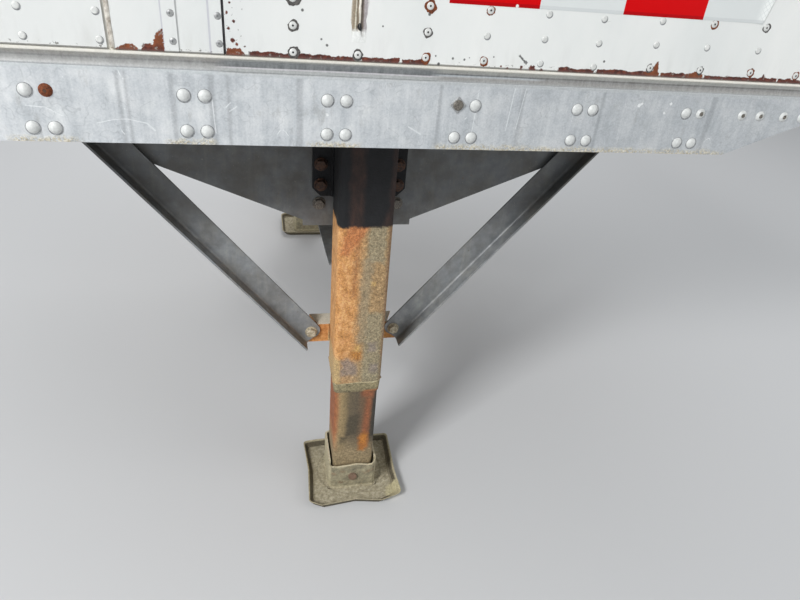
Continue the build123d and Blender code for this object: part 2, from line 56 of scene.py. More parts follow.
# Boxes of the nodes that details sit on
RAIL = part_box("left_rail")
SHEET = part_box("left_front_side_sheet")
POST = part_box("left_side_joint_post")
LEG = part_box("left_outer_leg")
LEG_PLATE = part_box("left_leg_plate")
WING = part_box("left_wing_plate")
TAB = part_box("left_brace_tab")
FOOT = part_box("left_foot_box")
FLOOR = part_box("floor_boards")
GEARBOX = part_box("gearbox")
BEAMS = [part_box(f"cross_member_{number}") for number in range(1, 11)]

# Places that follow from the boxes
RAIL_FACE_Y = RAIL[1].y - 6 * MM
RAIL_IN_Y = RAIL_FACE_Y - 6 * MM
RAIL_LOW = RAIL[0].z
BEAD_TOP = SHEET[0].z - 1 * MM
SHEET_Y = SHEET[1].y
POST_Y = POST[1].y
LEG_Y = (LEG[0].y + LEG[1].y) / 2
LEG_HALF = (LEG[1].x - LEG[0].x) / 2
BEAM_XS = [(low.x + high.x) / 2 for low, high in BEAMS]
SHOE_PLATE_TOP = 6 * MM
GEARBOX_FLANGE, GEARBOX_COVER = 11 * MM, 88 * MM
WING_OUT_Y = LEG_PLATE[0].y
WING_IN_Y = WING_OUT_Y - 6 * MM

# Places on the CAD model's parts: the bolts through the leg plate, the wing plate and the braces' feet
# and heads, the braces' slope, the skirt's weld and the top of the leg plate's, the number of floor
# boards, and the crank's pin
PLATE_BOLT_X, PLATE_BOLT_ZS = 0.097, (0.99, 0.938)
WING_BOLT_X, WING_BOLT_Z = 0.1, 0.885
BRACE_FOOT_X, BRACE_FOOT_Z = 0.118, 0.503
BRACE_HEAD_ZS, BRACE_SLOPE = (1.07, 1.106), math.radians(50.6)
SKIRT_WELD_Z, PLATE_WELD_TOP = 0.4135, 1.118
BOARDS = 8
CRANK_PIN = Vector((0, 1.18, 1.04))

# How far apart the scales of a weld are
WELD_STEP = 4.5 * MM

# Rivets of the rail: 2 by 2 at each cross member, and pulled rivets on the rise at the front, where
# they also hold the ninth cross member
RAIL_ROWS = (1161.4 * MM, 1221 * MM)
RIVET_APART = 33.4 * MM
PULLED_RIVET_XS = (0.73, 0.773, 0.831, 0.877)

# The near rail's odd fasteners in its upper row: a rusted rivet, a bolt and a lone pulled rivet
RUSTED_RIVET_X = BEAM_XS[2] + RIVET_APART / 2
ODD_BOLT_X = BEAM_XS[5] - RIVET_APART / 2
LONE_RIVET_X = BEAM_XS[7] + RIVET_APART / 2

# Dirty runs down the rail from the folds and seams above, each its place and half its width
RAIL_RUNS = (
    (-0.9, 0.006), (-0.69, 0.004), (-0.4595, 0.0032), (-0.448, 0.0026), (-0.377, 0.004),
    (-0.314, 0.005), (-0.287, 0.003), (-0.168, 0.0055), (0.085, 0.003), (0.245, 0.004),
    (0.41, 0.003), (0.655, 0.006), (0.93, 0.005),
)
# Bright scratches in the rail, each from a point to a point, with its width
RAIL_SCRATCHES = (
    ((-0.5003, 1.1708), (-0.4715, 1.1782), 0.0014), ((-0.4715, 1.1782), (-0.452, 1.1788), 0.0014),
    ((-0.452, 1.1788), (-0.4227, 1.1729), 0.0018), ((-0.4227, 1.1729), (-0.4102, 1.1598), 0.003),
    ((0.0284, 1.1794), (0.0551, 1.1649), 0.0028), ((-0.3142, 1.215), (-0.3117, 1.1584), 0.002),
    ((-0.2929, 1.2027), (-0.284, 1.2115), 0.0018), ((-0.2871, 1.1964), (-0.2738, 1.2054), 0.0018),
    ((0.2598, 1.2801), (0.257, 1.266), 0.0024), ((-0.6024, 1.1965), (-0.5738, 1.1944), 0.0018),
    ((-0.5738, 1.1944), (-0.5499, 1.1807), 0.0016), ((0.156, 1.25), (0.153, 1.165), 0.0014),
    ((0.226, 1.258), (0.22, 1.175), 0.0016), ((0.248, 1.26), (0.24, 1.18), 0.0014),
)
# Where grit is caught along the rail's lower edge
GRIT_RUNS = (
    (-1.06, -0.96), (-0.86, -0.8), (-0.632, -0.535), (-0.392, -0.312), (-0.148, -0.058), (0.082, 0.716),
)
# Bright nicks in the rail, each its place and radius
RAIL_NICKS = (
    ((0.489, 1.233), 0.0035), ((0.494, 1.236), 0.0025), ((0.558, 1.238), 0.0028), ((0.549, 1.22), 0.0025),
    ((-0.12, 1.196), 0.0025), ((-0.8, 1.205), 0.003),
)

# How many metres a gradient spans where it stands for a coordinate
GRADIENT_SPAN = 4.0

# The bead and the cove below it: the heights that the stops run between, and from where along the
# rail each set of stops holds. The stops give dirt and painted shade in the cove, and painted
# highlights along the bead's edges
COVE = (1.254, 1.287)
COVE_DIRT_SHADE_AND_HIGHLIGHTS = (
    (-2.0, (
        (0.16, "#c4c9cb"), (0.22, "#cfd3d5"), (0.29, "#a9aaa9"), (0.42, "#9c9b98"), (0.56, "#8f8e8b"),
        (0.63, "#6d6c69"), (0.7, "#8b8883"), (0.82, "#a39f97"), (0.88, "#d6d2c6"), (0.95, "#efebdf"))),
    (-0.31, (
        (0.08, "#b9bdbf"), (0.14, "#c8cbcd"), (0.22, "#a5a8a7"), (0.38, "#9fa2a1"), (0.45, "#cdcace"),
        (0.5, "#55595c"), (0.6, "#666b6d"), (0.76, "#7a7e80"), (0.86, "#b3b3ac"), (0.95, "#e9e5d8"))),
    (0.06, (
        (0.15, "#b4b8ba"), (0.22, "#c7cacb"), (0.3, "#949492"), (0.44, "#8a8884"), (0.53, "#bfc4c8"),
        (0.6, "#494e51"), (0.67, "#9a9a95"), (0.8, "#acaca6"), (0.88, "#d9d6cb"), (0.95, "#f3efe4"))),
    (0.26, (
        (0.15, "#b4b8ba"), (0.22, "#c5c8c9"), (0.3, "#959592"), (0.45, "#8b8986"), (0.57, "#7d7b78"),
        (0.62, "#5f5e5b"), (0.68, "#9d9d98"), (0.8, "#aeaea8"), (0.88, "#d4d1c6"), (0.95, "#f3efe4"))),
)

# Rivets of the side sheets: rows up the sheet and columns along it
SHEET_ROWS = (1.3015, 1.3425, 1.383)
SHEET_COLUMNS = (
    -1.015, -0.9075, -0.799, -0.6915, -0.5835, -0.4755, -0.1785, -0.07, 0.049,
    0.156, 0.2645, 0.3715, 0.4885, 0.597, 0.711, 0.8185, 0.9265, 1.034,
)
# How far each column's rivets stand above the rows, and the joint post's above them all
COLUMN_RISES = {
    -0.1785: -0.0042, -0.07: -0.003, 0.049: -0.0016, 0.156: -0.0018, 0.2645: -0.001,
    0.3715: -0.0022, 0.4885: 0.0012, 0.597: 0.002, 0.711: 0.0023, 0.8185: 0.001,
}
POST_COLUMNS = (-0.3665, -0.2957)
POST_RISE = 0.003
# The near side's open rivets by column and row: what their ring is of, and its radius in millimetres
WORN_RIVETS = {
    (-0.1785, 0): ("dirty", 10.6), (-0.1785, 1): ("dirty", 9.6), (-0.1785, 2): ("dirty", 12.0),
    (-0.07, 0): ("dirty", 9.4), (0.049, 0): ("rusty", 9.4), (0.049, 1): ("dirty", 8.6),
    (0.049, 2): ("rusty", 10.2), (0.156, 0): ("rusty", 8.2), (0.156, 2): ("rusty", 7.8),
    (0.4885, 0): ("dirty", 8.0), (0.597, 0): ("dirty", 8.2), (0.597, 2): ("rusty", 8.0),
    (0.711, 0): ("rusty", 8.4), (0.711, 2): ("dirty", 8.0), (0.8185, 0): ("rusty", 8.2),
}

# The split in the near front sheet: its hole's place, and how far it runs up, down and to each side
# of there. By column and row, the rivet that it starts from is gone, and the one above has no head
TEAR_X, TEAR_Z = -0.07, 1.3424
TEAR_UP, TEAR_DOWN, TEAR_HALF = 0.048, 0.024, 0.015
GONE_RIVET, HEADLESS_RIVET = (TEAR_X, 1), (TEAR_X, 2)

# Rust on the sheets: patches by their corners in X and Z
RUST_PATCHES = (
    ((-0.457, 1.286), (-0.4215, 1.286), (-0.4217, 1.2903), (-0.4253, 1.2962), (-0.4324, 1.298),
     (-0.4478, 1.2932)),
    ((-0.4165, 1.286), (-0.3807, 1.286), (-0.3807, 1.296), (-0.3982, 1.2985), (-0.4116, 1.299),
     (-0.415, 1.2945)),
    ((-0.401, 1.29), (-0.3807, 1.29), (-0.3807, 1.3215), (-0.3871, 1.3192), (-0.393, 1.311)),
    ((-0.2865, 1.286), (-0.2566, 1.286), (-0.2585, 1.2915), (-0.264, 1.2995), (-0.285, 1.2975)),
    ((0.456, 1.286), (0.512, 1.286), (0.5075, 1.296), (0.4925, 1.299), (0.475, 1.294)),
    ((0.493, 1.29), (0.511, 1.29), (0.5035, 1.314), (0.5, 1.314)),
    ((0.5575, 1.286), (0.6062, 1.286), (0.6045, 1.2975), (0.59, 1.3005), (0.57, 1.295)),
    ((0.737, 1.288), (0.754, 1.288), (0.7455, 1.3015), (0.7425, 1.3015)),
    ((0.2245, 1.286), (0.231, 1.286), (0.231, 1.2945), (0.227, 1.2945)),
    ((0.244, 1.286), (0.2565, 1.286), (0.256, 1.295), (0.246, 1.295)),
    ((0.2655, 1.286), (0.273, 1.286), (0.2725, 1.2905), (0.268, 1.292)),
)
# Where the rust along the sheets' lower edge leaves off
RUST_GAPS = (
    (-0.075, -0.0625), (0.0035, 0.007), (0.3735, 0.3795), (0.5115, 0.515), (0.607, 0.6105),
    (0.7785, 0.7815),
)
# Specks of rust, each its place and radius
RUST_SPECKS = (
    ((-0.2744, 1.3107), 0.0034), ((-0.2802, 1.3284), 0.0026), ((-0.2716, 1.3388), 0.0022),
    ((-0.2821, 1.3508), 0.0018), ((-0.2769, 1.3657), 0.0018), ((-0.2561, 1.3025), 0.0018),
    ((0.19, 1.292), 0.0016), ((0.203, 1.289), 0.0026), ((-0.269, 1.305), 0.0022),
)
# Where the rust is fresher and more orange, each place and radius
FRESH_RUST = (
    ((0.5, 1.296), 0.02), ((0.59, 1.293), 0.018), ((-0.39, 1.307), 0.014),
    ((-0.272, 1.291), 0.012), ((-0.436, 1.29), 0.014),
)
# A black scrape in the paint, by its corners, and small black chips, each its place and radius
PAINT_SCRAPE = ((0.221, 1.3105), (0.2375, 1.297), (0.2402, 1.2997), (0.2235, 1.3128))
PAINT_CHIPS = (
    ((-0.163, 1.362), 0.0023), ((-0.1318, 1.32), 0.0015), ((-0.1224, 1.311), 0.0022),
    ((0.0487, 1.3686), 0.0024), ((0.0985, 1.3009), 0.0021), ((0.12, 1.2999), 0.002),
    ((0.067, 1.3035), 0.0014), ((0.174, 1.307), 0.0014), ((0.0737, 1.2906), 0.0024),
    ((0.3906, 1.3098), 0.0021), ((-0.0296, 1.3456), 0.0014), ((0.129, 1.3035), 0.0011),
)

# What the leg's paint has turned to: how ragged each kind's patches are, the size of their lumps in
# millimetres, and each patch's corners in X and Z
LEG_SCARS = {
    "flame": (0.01, 18, (
        ((-0.06, 0.808), (-0.04, 0.806), (-0.002, 0.868), (0.01, 0.892), (-0.04, 0.892),
         (-0.054, 0.85)),
    )),
    "sage": (0.014, 14, (
        ((0.008, 0.795), (0.05, 0.785), (0.053, 0.895), (0.008, 0.895)),
        ((0.01, 0.41), (0.058, 0.41), (0.058, 0.64), (0.014, 0.64)),
    )),
    "slate": (0.02, 20, (
        ((-0.01, 0.545), (0.016, 0.545), (0.024, 0.8), (-0.004, 0.8)),
    )),
    "line": (0.008, 9, (
        ((-0.028, 0.69), (-0.018, 0.69), (-0.012, 0.86), (-0.024, 0.86)),
    )),
    "mauve": (0.012, 14, (
        ((-0.048, 0.438), (-0.004, 0.438), (-0.004, 0.47), (-0.03, 0.498), (-0.048, 0.49)),
        ((0.024, 0.516), (0.044, 0.516), (0.046, 0.546), (0.026, 0.546)),
        ((0.03, 0.444), (0.054, 0.444), (0.054, 0.476), (0.032, 0.476)),
    )),
    "beige": (0.007, 14, (
        ((-0.07, 0.405), (-0.05, 0.405), (-0.05, 0.49), (-0.07, 0.5)),
    )),
    "amber": (0.008, 9, (
        ((-0.024, 0.5), (-0.002, 0.487), (0.005, 0.492), (0.006, 0.52), (-0.024, 0.52)),
    )),
    "yellow": (0.008, 9, (
        ((-0.014, 0.522), (0.000, 0.52), (0.002, 0.536), (-0.01, 0.538)),
        ((0.023, 0.723), (0.029, 0.723), (0.029, 0.73), (0.023, 0.73)),
    )),
    "navy": (0.01, 25, (
        ((-0.008, 0.87), (0.03, 0.87), (0.053, 0.925), (0.053, 1.2), (-0.01, 1.2)),
        ((-0.2, 0.87), (-0.04, 0.87), (-0.044, 1.2), (-0.2, 1.2)),
        ((0.07, 0.87), (0.2, 0.87), (0.2, 1.2), (0.07, 1.2)),
    )),
}

# A painted highlight along the upper edge of the leg's skirt, point by point
SKIRT_RIDGE = ((-0.0665, 0.408), (-0.049, 0.409), (-0.007, 0.413), (0.041, 0.4105), (0.0665, 0.4165))

# The drop leg's patches, as above
DROP_SCARS = {
    "orange": (0.01, 14, (
        ((0.014, 0.146), (0.03, 0.142), (0.042, 0.16), (0.041, 0.21), (0.03, 0.222), (0.014, 0.202)),
    )),
    "bright": (0.01, 10, (
        ((0.02, 0.182), (0.032, 0.178), (0.035, 0.204), (0.024, 0.21)),
    )),
    "dark": (0.014, 18, (
        ((-0.028, 0.205), (0.004, 0.214), (0.014, 0.25), (0.01, 0.29), (-0.018, 0.286)),
        ((-0.046, 0.178), (-0.026, 0.178), (-0.02, 0.205), (-0.04, 0.205)),
    )),
    "red": (0.006, 20, (
        ((-0.07, 0.19), (-0.054, 0.225), (-0.052, 0.4), (-0.07, 0.4)),
        ((0.018, 0.355), (0.05, 0.35), (0.056, 0.4), (0.01, 0.4)),
        ((0.022, 0.215), (0.042, 0.215), (0.046, 0.35), (0.03, 0.35)),
    )),
}

# The near shoe's corner that is painted pale as a highlight: its place in X and Y and its radius
SHOE_CORNER_HIGHLIGHT = ((0.134, -1.052), 0.036)

# Reflective tape: the height of its lower edge at X 0, how much that rises in a metre, and its width;
# where each block starts and the last one ends; how far that end is cut aslant and how far it lifts
# off the sheet; and a nick in the lower edge
TAPE_LOW, TAPE_RISE, TAPE_WIDE = 1.3874, 0.0062, 0.051
TAPE_XS = (0.081, 0.244, 0.405, 0.569, 0.6985)
TAPE_SLANT, TAPE_PEEL = 0.01, 1.3 * MM
TAPE_NICK = (0.2022, 1.3905)

# Seams of the side: folds, each its place and half its width, drawn as lines of painted shade, the
# caulked joint and the black seam
FOLD_LINES = ((-0.381, 0.0012), (-0.31, 0.0016))
CAULK_XS = (-0.462, -0.4545)
BLACK_SEAM_XS = (-0.2897, -0.2863)

# A ramp's colours where it stands for a height between 0 and 1
GREYS = ("#000000", "#ffffff")


def srgb(text):
    """A linear colour from an sRGB hex value."""
    parts = [int(text[at : at + 2], 16) / 255 for at in (1, 3, 5)]
    return [c / 12.92 if c <= 0.04045 else ((c + 0.055) / 1.055) ** 2.4 for c in parts] + [1.0]


def assign(item, settings):
    """Sets an item's settings by name."""
    for key, value in settings.items():
        setattr(item, key, value)


def feed(made, inputs):
    """Fills a node's inputs, by name or number, with links, sRGB hex colours or values."""
    for key, value in dict(inputs).items():
        if isinstance(value, bpy.types.NodeSocket):
            made.id_data.links.new(value, made.inputs[key])
        else:
            made.inputs[key].default_value = srgb(value) if isinstance(value, str) else value


def add(beside, kind, inputs=(), stops=(), **settings):
    """Adds one shader node beside a socket, with its settings, its inputs and, for a ramp, its stops."""
    made = beside.id_data.nodes.new("ShaderNode" + kind)
    assign(made, settings)
    feed(made, inputs)
    if stops:
        elements = made.color_ramp.elements
        for element, (place, colour) in zip(elements, (stops[0], stops[-1])):
            element.position = place
            element.color = srgb(colour)
        for place, colour in stops[1:-1]:
            elements.new(place).color = srgb(colour)
    return made


def finish_of(name, metallic=0.0, roughness=0.5, specular=0.5):
    """Starts a material: returns it and its Object coordinates."""
    made = bpy.data.materials.new(name)
    made.use_nodes = True
    shader = made.node_tree.nodes["Principled BSDF"]
    feed(shader, {"Metallic": metallic, "Roughness": roughness, "Specular IOR Level": specular})
    return made, add(shader, "TexCoord").outputs["Object"]


def painted(made, colour, layers=(), rough=None):
    """Ends a material with its colour and its relief: see relief. Where its roughness follows a mask,
    rough has the mask, then the roughness where it is 0 and where it is 1."""
    shader = made.node_tree.nodes["Principled BSDF"]
    feed(shader, {"Base Color": colour})
    if rough:
        mask, low, high = rough
        spread = add(mask, "MapRange", {"Value": mask, "To Min": low, "To Max": high})
        feed(shader, {"Roughness": spread.outputs["Result"]})
    if layers:
        feed(shader, {"Normal": relief(layers)})
    return made


def stretched(place, scale):
    """Coordinates drawn out along the axes whose scale is under 1."""
    return add(place, "Mapping", {"Vector": place, "Scale": scale}).outputs[0]


def clouds(place, size, seed, **inputs):
    """Noise between 0 and 1 with features of a size in millimetres."""
    inputs = {"Vector": place, "W": seed, "Scale": 1 / (size * MM), **inputs}
    return add(place, "TexNoise", inputs, noise_dimensions="4D").outputs["Fac"]


def ramp(value, stops):
    """The colour that a number has between the stops, each a place with its colour. Two colours alone
    stand at 0.3 and 0.7, which is how far most of a noise reaches."""
    if isinstance(stops[0], str):
        stops = tuple(zip((0.3, 0.7), stops))
    return add(value, "ValToRGB", {"Fac": value}, stops).outputs["Color"]


def ranged(value, low, high):
    """A mask that goes from 0 where a number is low to 1 where it is high."""
    return add(value, "MapRange", {"Value": value, "From Min": low, "From Max": high}).outputs["Result"]


def calculated(operation, *numbers):
    """The result of a calculation with some numbers or sockets."""
    beside = next(number for number in numbers if isinstance(number, bpy.types.NodeSocket))
    return add(beside, "Math", dict(enumerate(numbers)), operation=operation).outputs[0]


def tone(place, size, stops, seed, detail=6.0):
    """A colour that wanders between the stops, over features of a size in millimetres."""
    return ramp(clouds(place, size, seed, Detail=detail, Roughness=0.6), stops)


def patches(place, size, edge, soft, seed):
    """A mask of patches about a size in millimetres; a higher edge leaves fewer of them."""
    return ranged(clouds(place, size, seed, Detail=8.0, Roughness=0.62), edge - soft, edge + soft)


def hairlines(place, size, width, seed):
    """A mask of thin lines that wander, such as scratches: where a noise crosses its middle."""
    near = calculated("SUBTRACT", clouds(place, size, seed, Detail=1.0), 0.5)
    return ranged(calculated("ABSOLUTE", near), width, 0.0)


def unevenness(place, reach, size, seed):
    """A shift that wanders either way, for ragged edges; size is that of its lumps in millimetres."""
    wander = clouds(place, size, seed, Detail=7.0, Roughness=0.68)
    return calculated("MULTIPLY_ADD", wander, 2 * reach, -reach)


def share(mask, most):
    """A mask made fainter, so that it is at most a share of 1."""
    return calculated("MULTIPLY", mask, most)


def grained(colour, place, sizes, strength, seed):
    """A colour with light and dark grains of some sizes in millimetres laid over it."""
    for number, size in enumerate(sizes):
        grains = tone(place, size, ((0.36, "#000000"), (0.64, "#ffffff")), seed + number, 3.0)
        mix = {0: strength, 6: colour, 7: grains}
        colour = add(colour, "Mix", mix, data_type="RGBA", blend_type="OVERLAY").outputs[2]
    return colour


def scaled(distance):
    """A distance along a direction as the number that reach_along gives for it."""
    return 0.5 + distance / GRADIENT_SPAN


def reach_along(place, direction, start=0.0):
    """How far a place lies beyond start along a direction in X and Z, as a number from 0 to 1: see
    scaled. It comes from a gradient, which takes coordinates as they are."""
    turned = add(place, "Mapping", {
        "Vector": place, "Location": (scaled(-start), 0, 0),
        "Rotation": (0, math.atan2(direction[2], direction[0]), 0),
        "Scale": (math.hypot(direction[0], direction[2]) / GRADIENT_SPAN,) * 3}).outputs[0]
    return add(place, "TexGradient", {"Vector": turned}).outputs["Fac"]


def bordered(place, reach, ragged, size, seed, soft):
    """The mask of where a reach is over 0.5, its edge ragged and soft. Cycles holds every limited value
    of a material until the rest is ready, so masks are joined as reaches and limited only once."""
    if ragged:
        reach = calculated("ADD", reach, unevenness(place, ragged / GRADIENT_SPAN, size, seed))
    return ranged(reach, scaled(-soft), scaled(soft))


def lesser(first, second):
    """The smaller of two numbers: where two reaches are both over 0.5."""
    return calculated("MINIMUM", first, second)


def beyond(place, direction, start, end, ragged=0.0, size=20, seed=0.0):
    """A mask that goes from 0 at start to 1 at end along a direction, its edge ragged by noise."""
    along = reach_along(place, direction)
    if ragged:
        along = calculated("ADD", along, unevenness(place, ragged / GRADIENT_SPAN, size, seed))
    return ranged(along, scaled(start), scaled(end))


def between(place, direction, runs, soft=0.0003, ragged=0.0, size=20, seed=0.0):
    """A mask of bands, each from a start to an end along a direction."""
    back = tuple(-part for part in direction)
    bands = either(
        lesser(reach_along(place, direction, start), reach_along(place, back, -end))
        for start, end in runs
    )
    return bordered(place, bands, ragged, size, seed, soft)


def stroke(start, end, width):
    """The corners of a thin stroke between two points in X and Z."""
    (x, z), (x_end, z_end) = start, end
    length = math.hypot(x_end - x, z_end - z)
    aside = (-(z_end - z) / length * width / 2, (x_end - x) / length * width / 2)
    return (
        (x - aside[0], z - aside[1]), (x_end - aside[0], z_end - aside[1]),
        (x_end + aside[0], z_end + aside[1]), (x + aside[0], z + aside[1]),
    )


def enclosed(place, corners):
    """How far a place lies inside a convex outline, from its corners in X and Z, counter-clockwise."""
    least = None
    for (x, z), (x_next, z_next) in zip(corners, corners[1:] + corners[:1]):
        length = math.hypot(x_next - x, z_next - z)
        inward = ((z - z_next) / length, 0, (x_next - x) / length)
        reach = reach_along(place, inward, x * inward[0] + z * inward[2])
        least = reach if least is None else lesser(least, reach)
    return least


def outlined(place, outlines, ragged, size, seed, soft=0.0005):
    """A mask of ragged convex patches, each from its corners: see enclosed."""
    reach = either(enclosed(place, corners) for corners in outlines)
    return bordered(place, reach, ragged, size, seed, soft)


def near_point(place, x, z, radius):
    """How far a place lies inside the circle about a point in X and Z."""
    about = add(place, "Mapping", {
        "Vector": place, "Location": (-x / GRADIENT_SPAN, 0, -z / GRADIENT_SPAN),
        "Scale": (1 / GRADIENT_SPAN, 0, 1 / GRADIENT_SPAN)}).outputs[0]
    near = add(place, "TexGradient", {"Vector": about}, gradient_type="SPHERICAL").outputs["Fac"]
    return calculated("ADD", near, scaled(radius) - 1)


def near_points(place, spots, ragged=0.0, size=15, seed=0.0, soft=0.0005):
    """A mask of ragged spots, each about a point in X and Z, the same on both sides of the trailer."""
    reach = either(near_point(place, x, z, radius) for (x, z), radius in spots)
    return bordered(place, reach, ragged, size, seed, soft)


def both(first, second):
    """A mask where two masks are both 1."""
    return calculated("MULTIPLY", first, second)


def outside(mask):
    """A mask where another is 0."""
    return calculated("SUBTRACT", 1.0, mask)


def facing_up(place, low, high):
    """A mask of the faces that look up: 0 where their normal's Z is low, 1 where it is high."""
    normal = add(place, "NewGeometry").outputs["Normal"]
    return ranged(add(place, "SeparateXYZ", {0: normal}).outputs[2], low, high)


def either(masks):
    """A mask where any of some masks is 1. Each is made as its turn comes, because Cycles can hold
    only so many of a material's values at once."""
    most = None
    for mask in masks:
        most = mask if most is None else calculated("MAXIMUM", most, mask)
    return most


def coats(base, layers):
    """A base colour with coats over it, each a mask and a colour."""
    for mask, colour in layers:
        base = add(base, "Mix", {0: mask, 6: base, 7: colour}, data_type="RGBA").outputs[2]
    return base


def relief(layers):
    """A bumped normal from pairs of a height between 0 and 1 and its depth in millimetres."""
    normal = None
    for height, depth in layers:
        inputs = {"Height": height, "Distance": abs(depth) * MM}
        if normal is not None:
            inputs["Normal"] = normal
        normal = add(height, "Bump", inputs, invert=depth < 0).outputs["Normal"]
    return normal


def mill_aluminium():
    """Extruded aluminium with its mill finish gone chalky: pale blue-grey, mottled by oxide, wiped
    down in streaks, dirty in the bead's cove and gritty along the lower edge. The cove also has
    painted shade and the bead painted highlights, and the rail is darker towards the front in
    painted shade."""
    made, place = finish_of("mill_finish_aluminium", metallic=0.2)
    mottled = tone(stretched(place, (0.8, 1, 1)), 42, (
        (0.3, "#aeb3b7"), (0.45, "#c3c8cc"), (0.55, "#cdd1d4"), (0.72, "#dddfe0")), seed=1, detail=9.0)
    wiped = tone(stretched(place, (1, 1, 0.05)), 11, ("#9da2a5", "#e0e2e2"), seed=2)
    chalk = patches(stretched(place, (1, 1, 0.6)), 32, 0.6, 0.1, seed=3)
    swirls = both(hairlines(place, 26, 0.02, seed=4), patches(place, 70, 0.5, 0.06, seed=5))
    runs = between(place, AHEAD, [(x - half, x + half) for x, half in RAIL_RUNS], 0.0022, 0.003, 24, 6)
    grit_band = beyond(place, UP, RAIL_LOW + 0.012, RAIL_LOW + 0.004, 0.012, 26, seed=11)
    caught = between(place, AHEAD, GRIT_RUNS, 0.01, 0.02, 30, seed=12)
    grit = both(both(grit_band, caught), patches(place, 4, 0.47, 0.05, seed=13))
    grains = tone(place, 3.5, ((0.35, "#9c8f72"), (0.5, "#cdc5ae"), (0.65, "#e6e2d6")), seed=21)
    splashes = patches(stretched(place, (1, 1, 0.45)), 22, 0.655, 0.05, seed=14)
    scratches = both(
        hairlines(stretched(place, (1, 1, 0.35)), 60, 0.0035, seed=15),
        patches(place, 26, 0.6, 0.02, seed=16))
    nicks = patches(place, 8, 0.725, 0.008, seed=17)
    dents = near_points(place, RAIL_NICKS, 0.003, 4, seed=18)
    strokes = outlined(place, [stroke(*ends) for ends in RAIL_SCRATCHES], 0.001, 5, seed=22)
    colour = coats(mottled, (
        (0.36, wiped),
        (share(chalk, 0.5), "#e2e4e3"),
        (share(swirls, 0.4), "#9ea3a6"),
        (share(runs, 0.42), "#8f9295"),
        # Darker towards the front: painted shade
        (share(beyond(place, AHEAD, -0.1, 0.45, 0.05, 120, seed=49), 0.28), "#83888c"),
        (share(splashes, 0.35), "#8e8e8a"),
        (share(grit, 0.85), grains),
        (share(strokes, 0.6), "#e6e9ea"),
        (share(either((scratches, nicks, dents)), 0.85), "#eef0f0"),
    ))
    # The bead and its cove: dirt, painted shade in the cove and painted highlights along the bead
    cove_start, cove_end = COVE
    for number, (start, stops) in enumerate(COVE_DIRT_SHADE_AND_HIGHLIGHTS):
        height = beyond(
            stretched(place, (0.2, 1, 1)), UP, cove_start, cove_end, 0.0012, 22, seed=40 + number)
        lines = ramp(height, stops)
        streaky = patches(stretched(place, (1, 1, 0.15)), 7, 0.5, 0.12, seed=44 + number)
        lines = coats(lines, ((share(streaky, 0.22), "#c9cbca"),))
        inside = both(
            beyond(place, UP, cove_start, cove_start + 0.004),
            beyond(place, AHEAD, start, start + 0.025, 0.01, 20, seed=48),
        )
        colour = coats(colour, ((share(inside, 0.88), lines),))
    colour = grained(colour, place, (3,), 0.1, seed=19)
    fine = tone(stretched(place, (0.25, 1, 1)), 3, GREYS, seed=12)
    layers = ((fine, 0.06), (grit, 0.8), (scratches, -0.15), (dents, -0.4), (strokes, -0.2))
    return painted(made, colour, layers, (chalk, 0.46, 0.62))


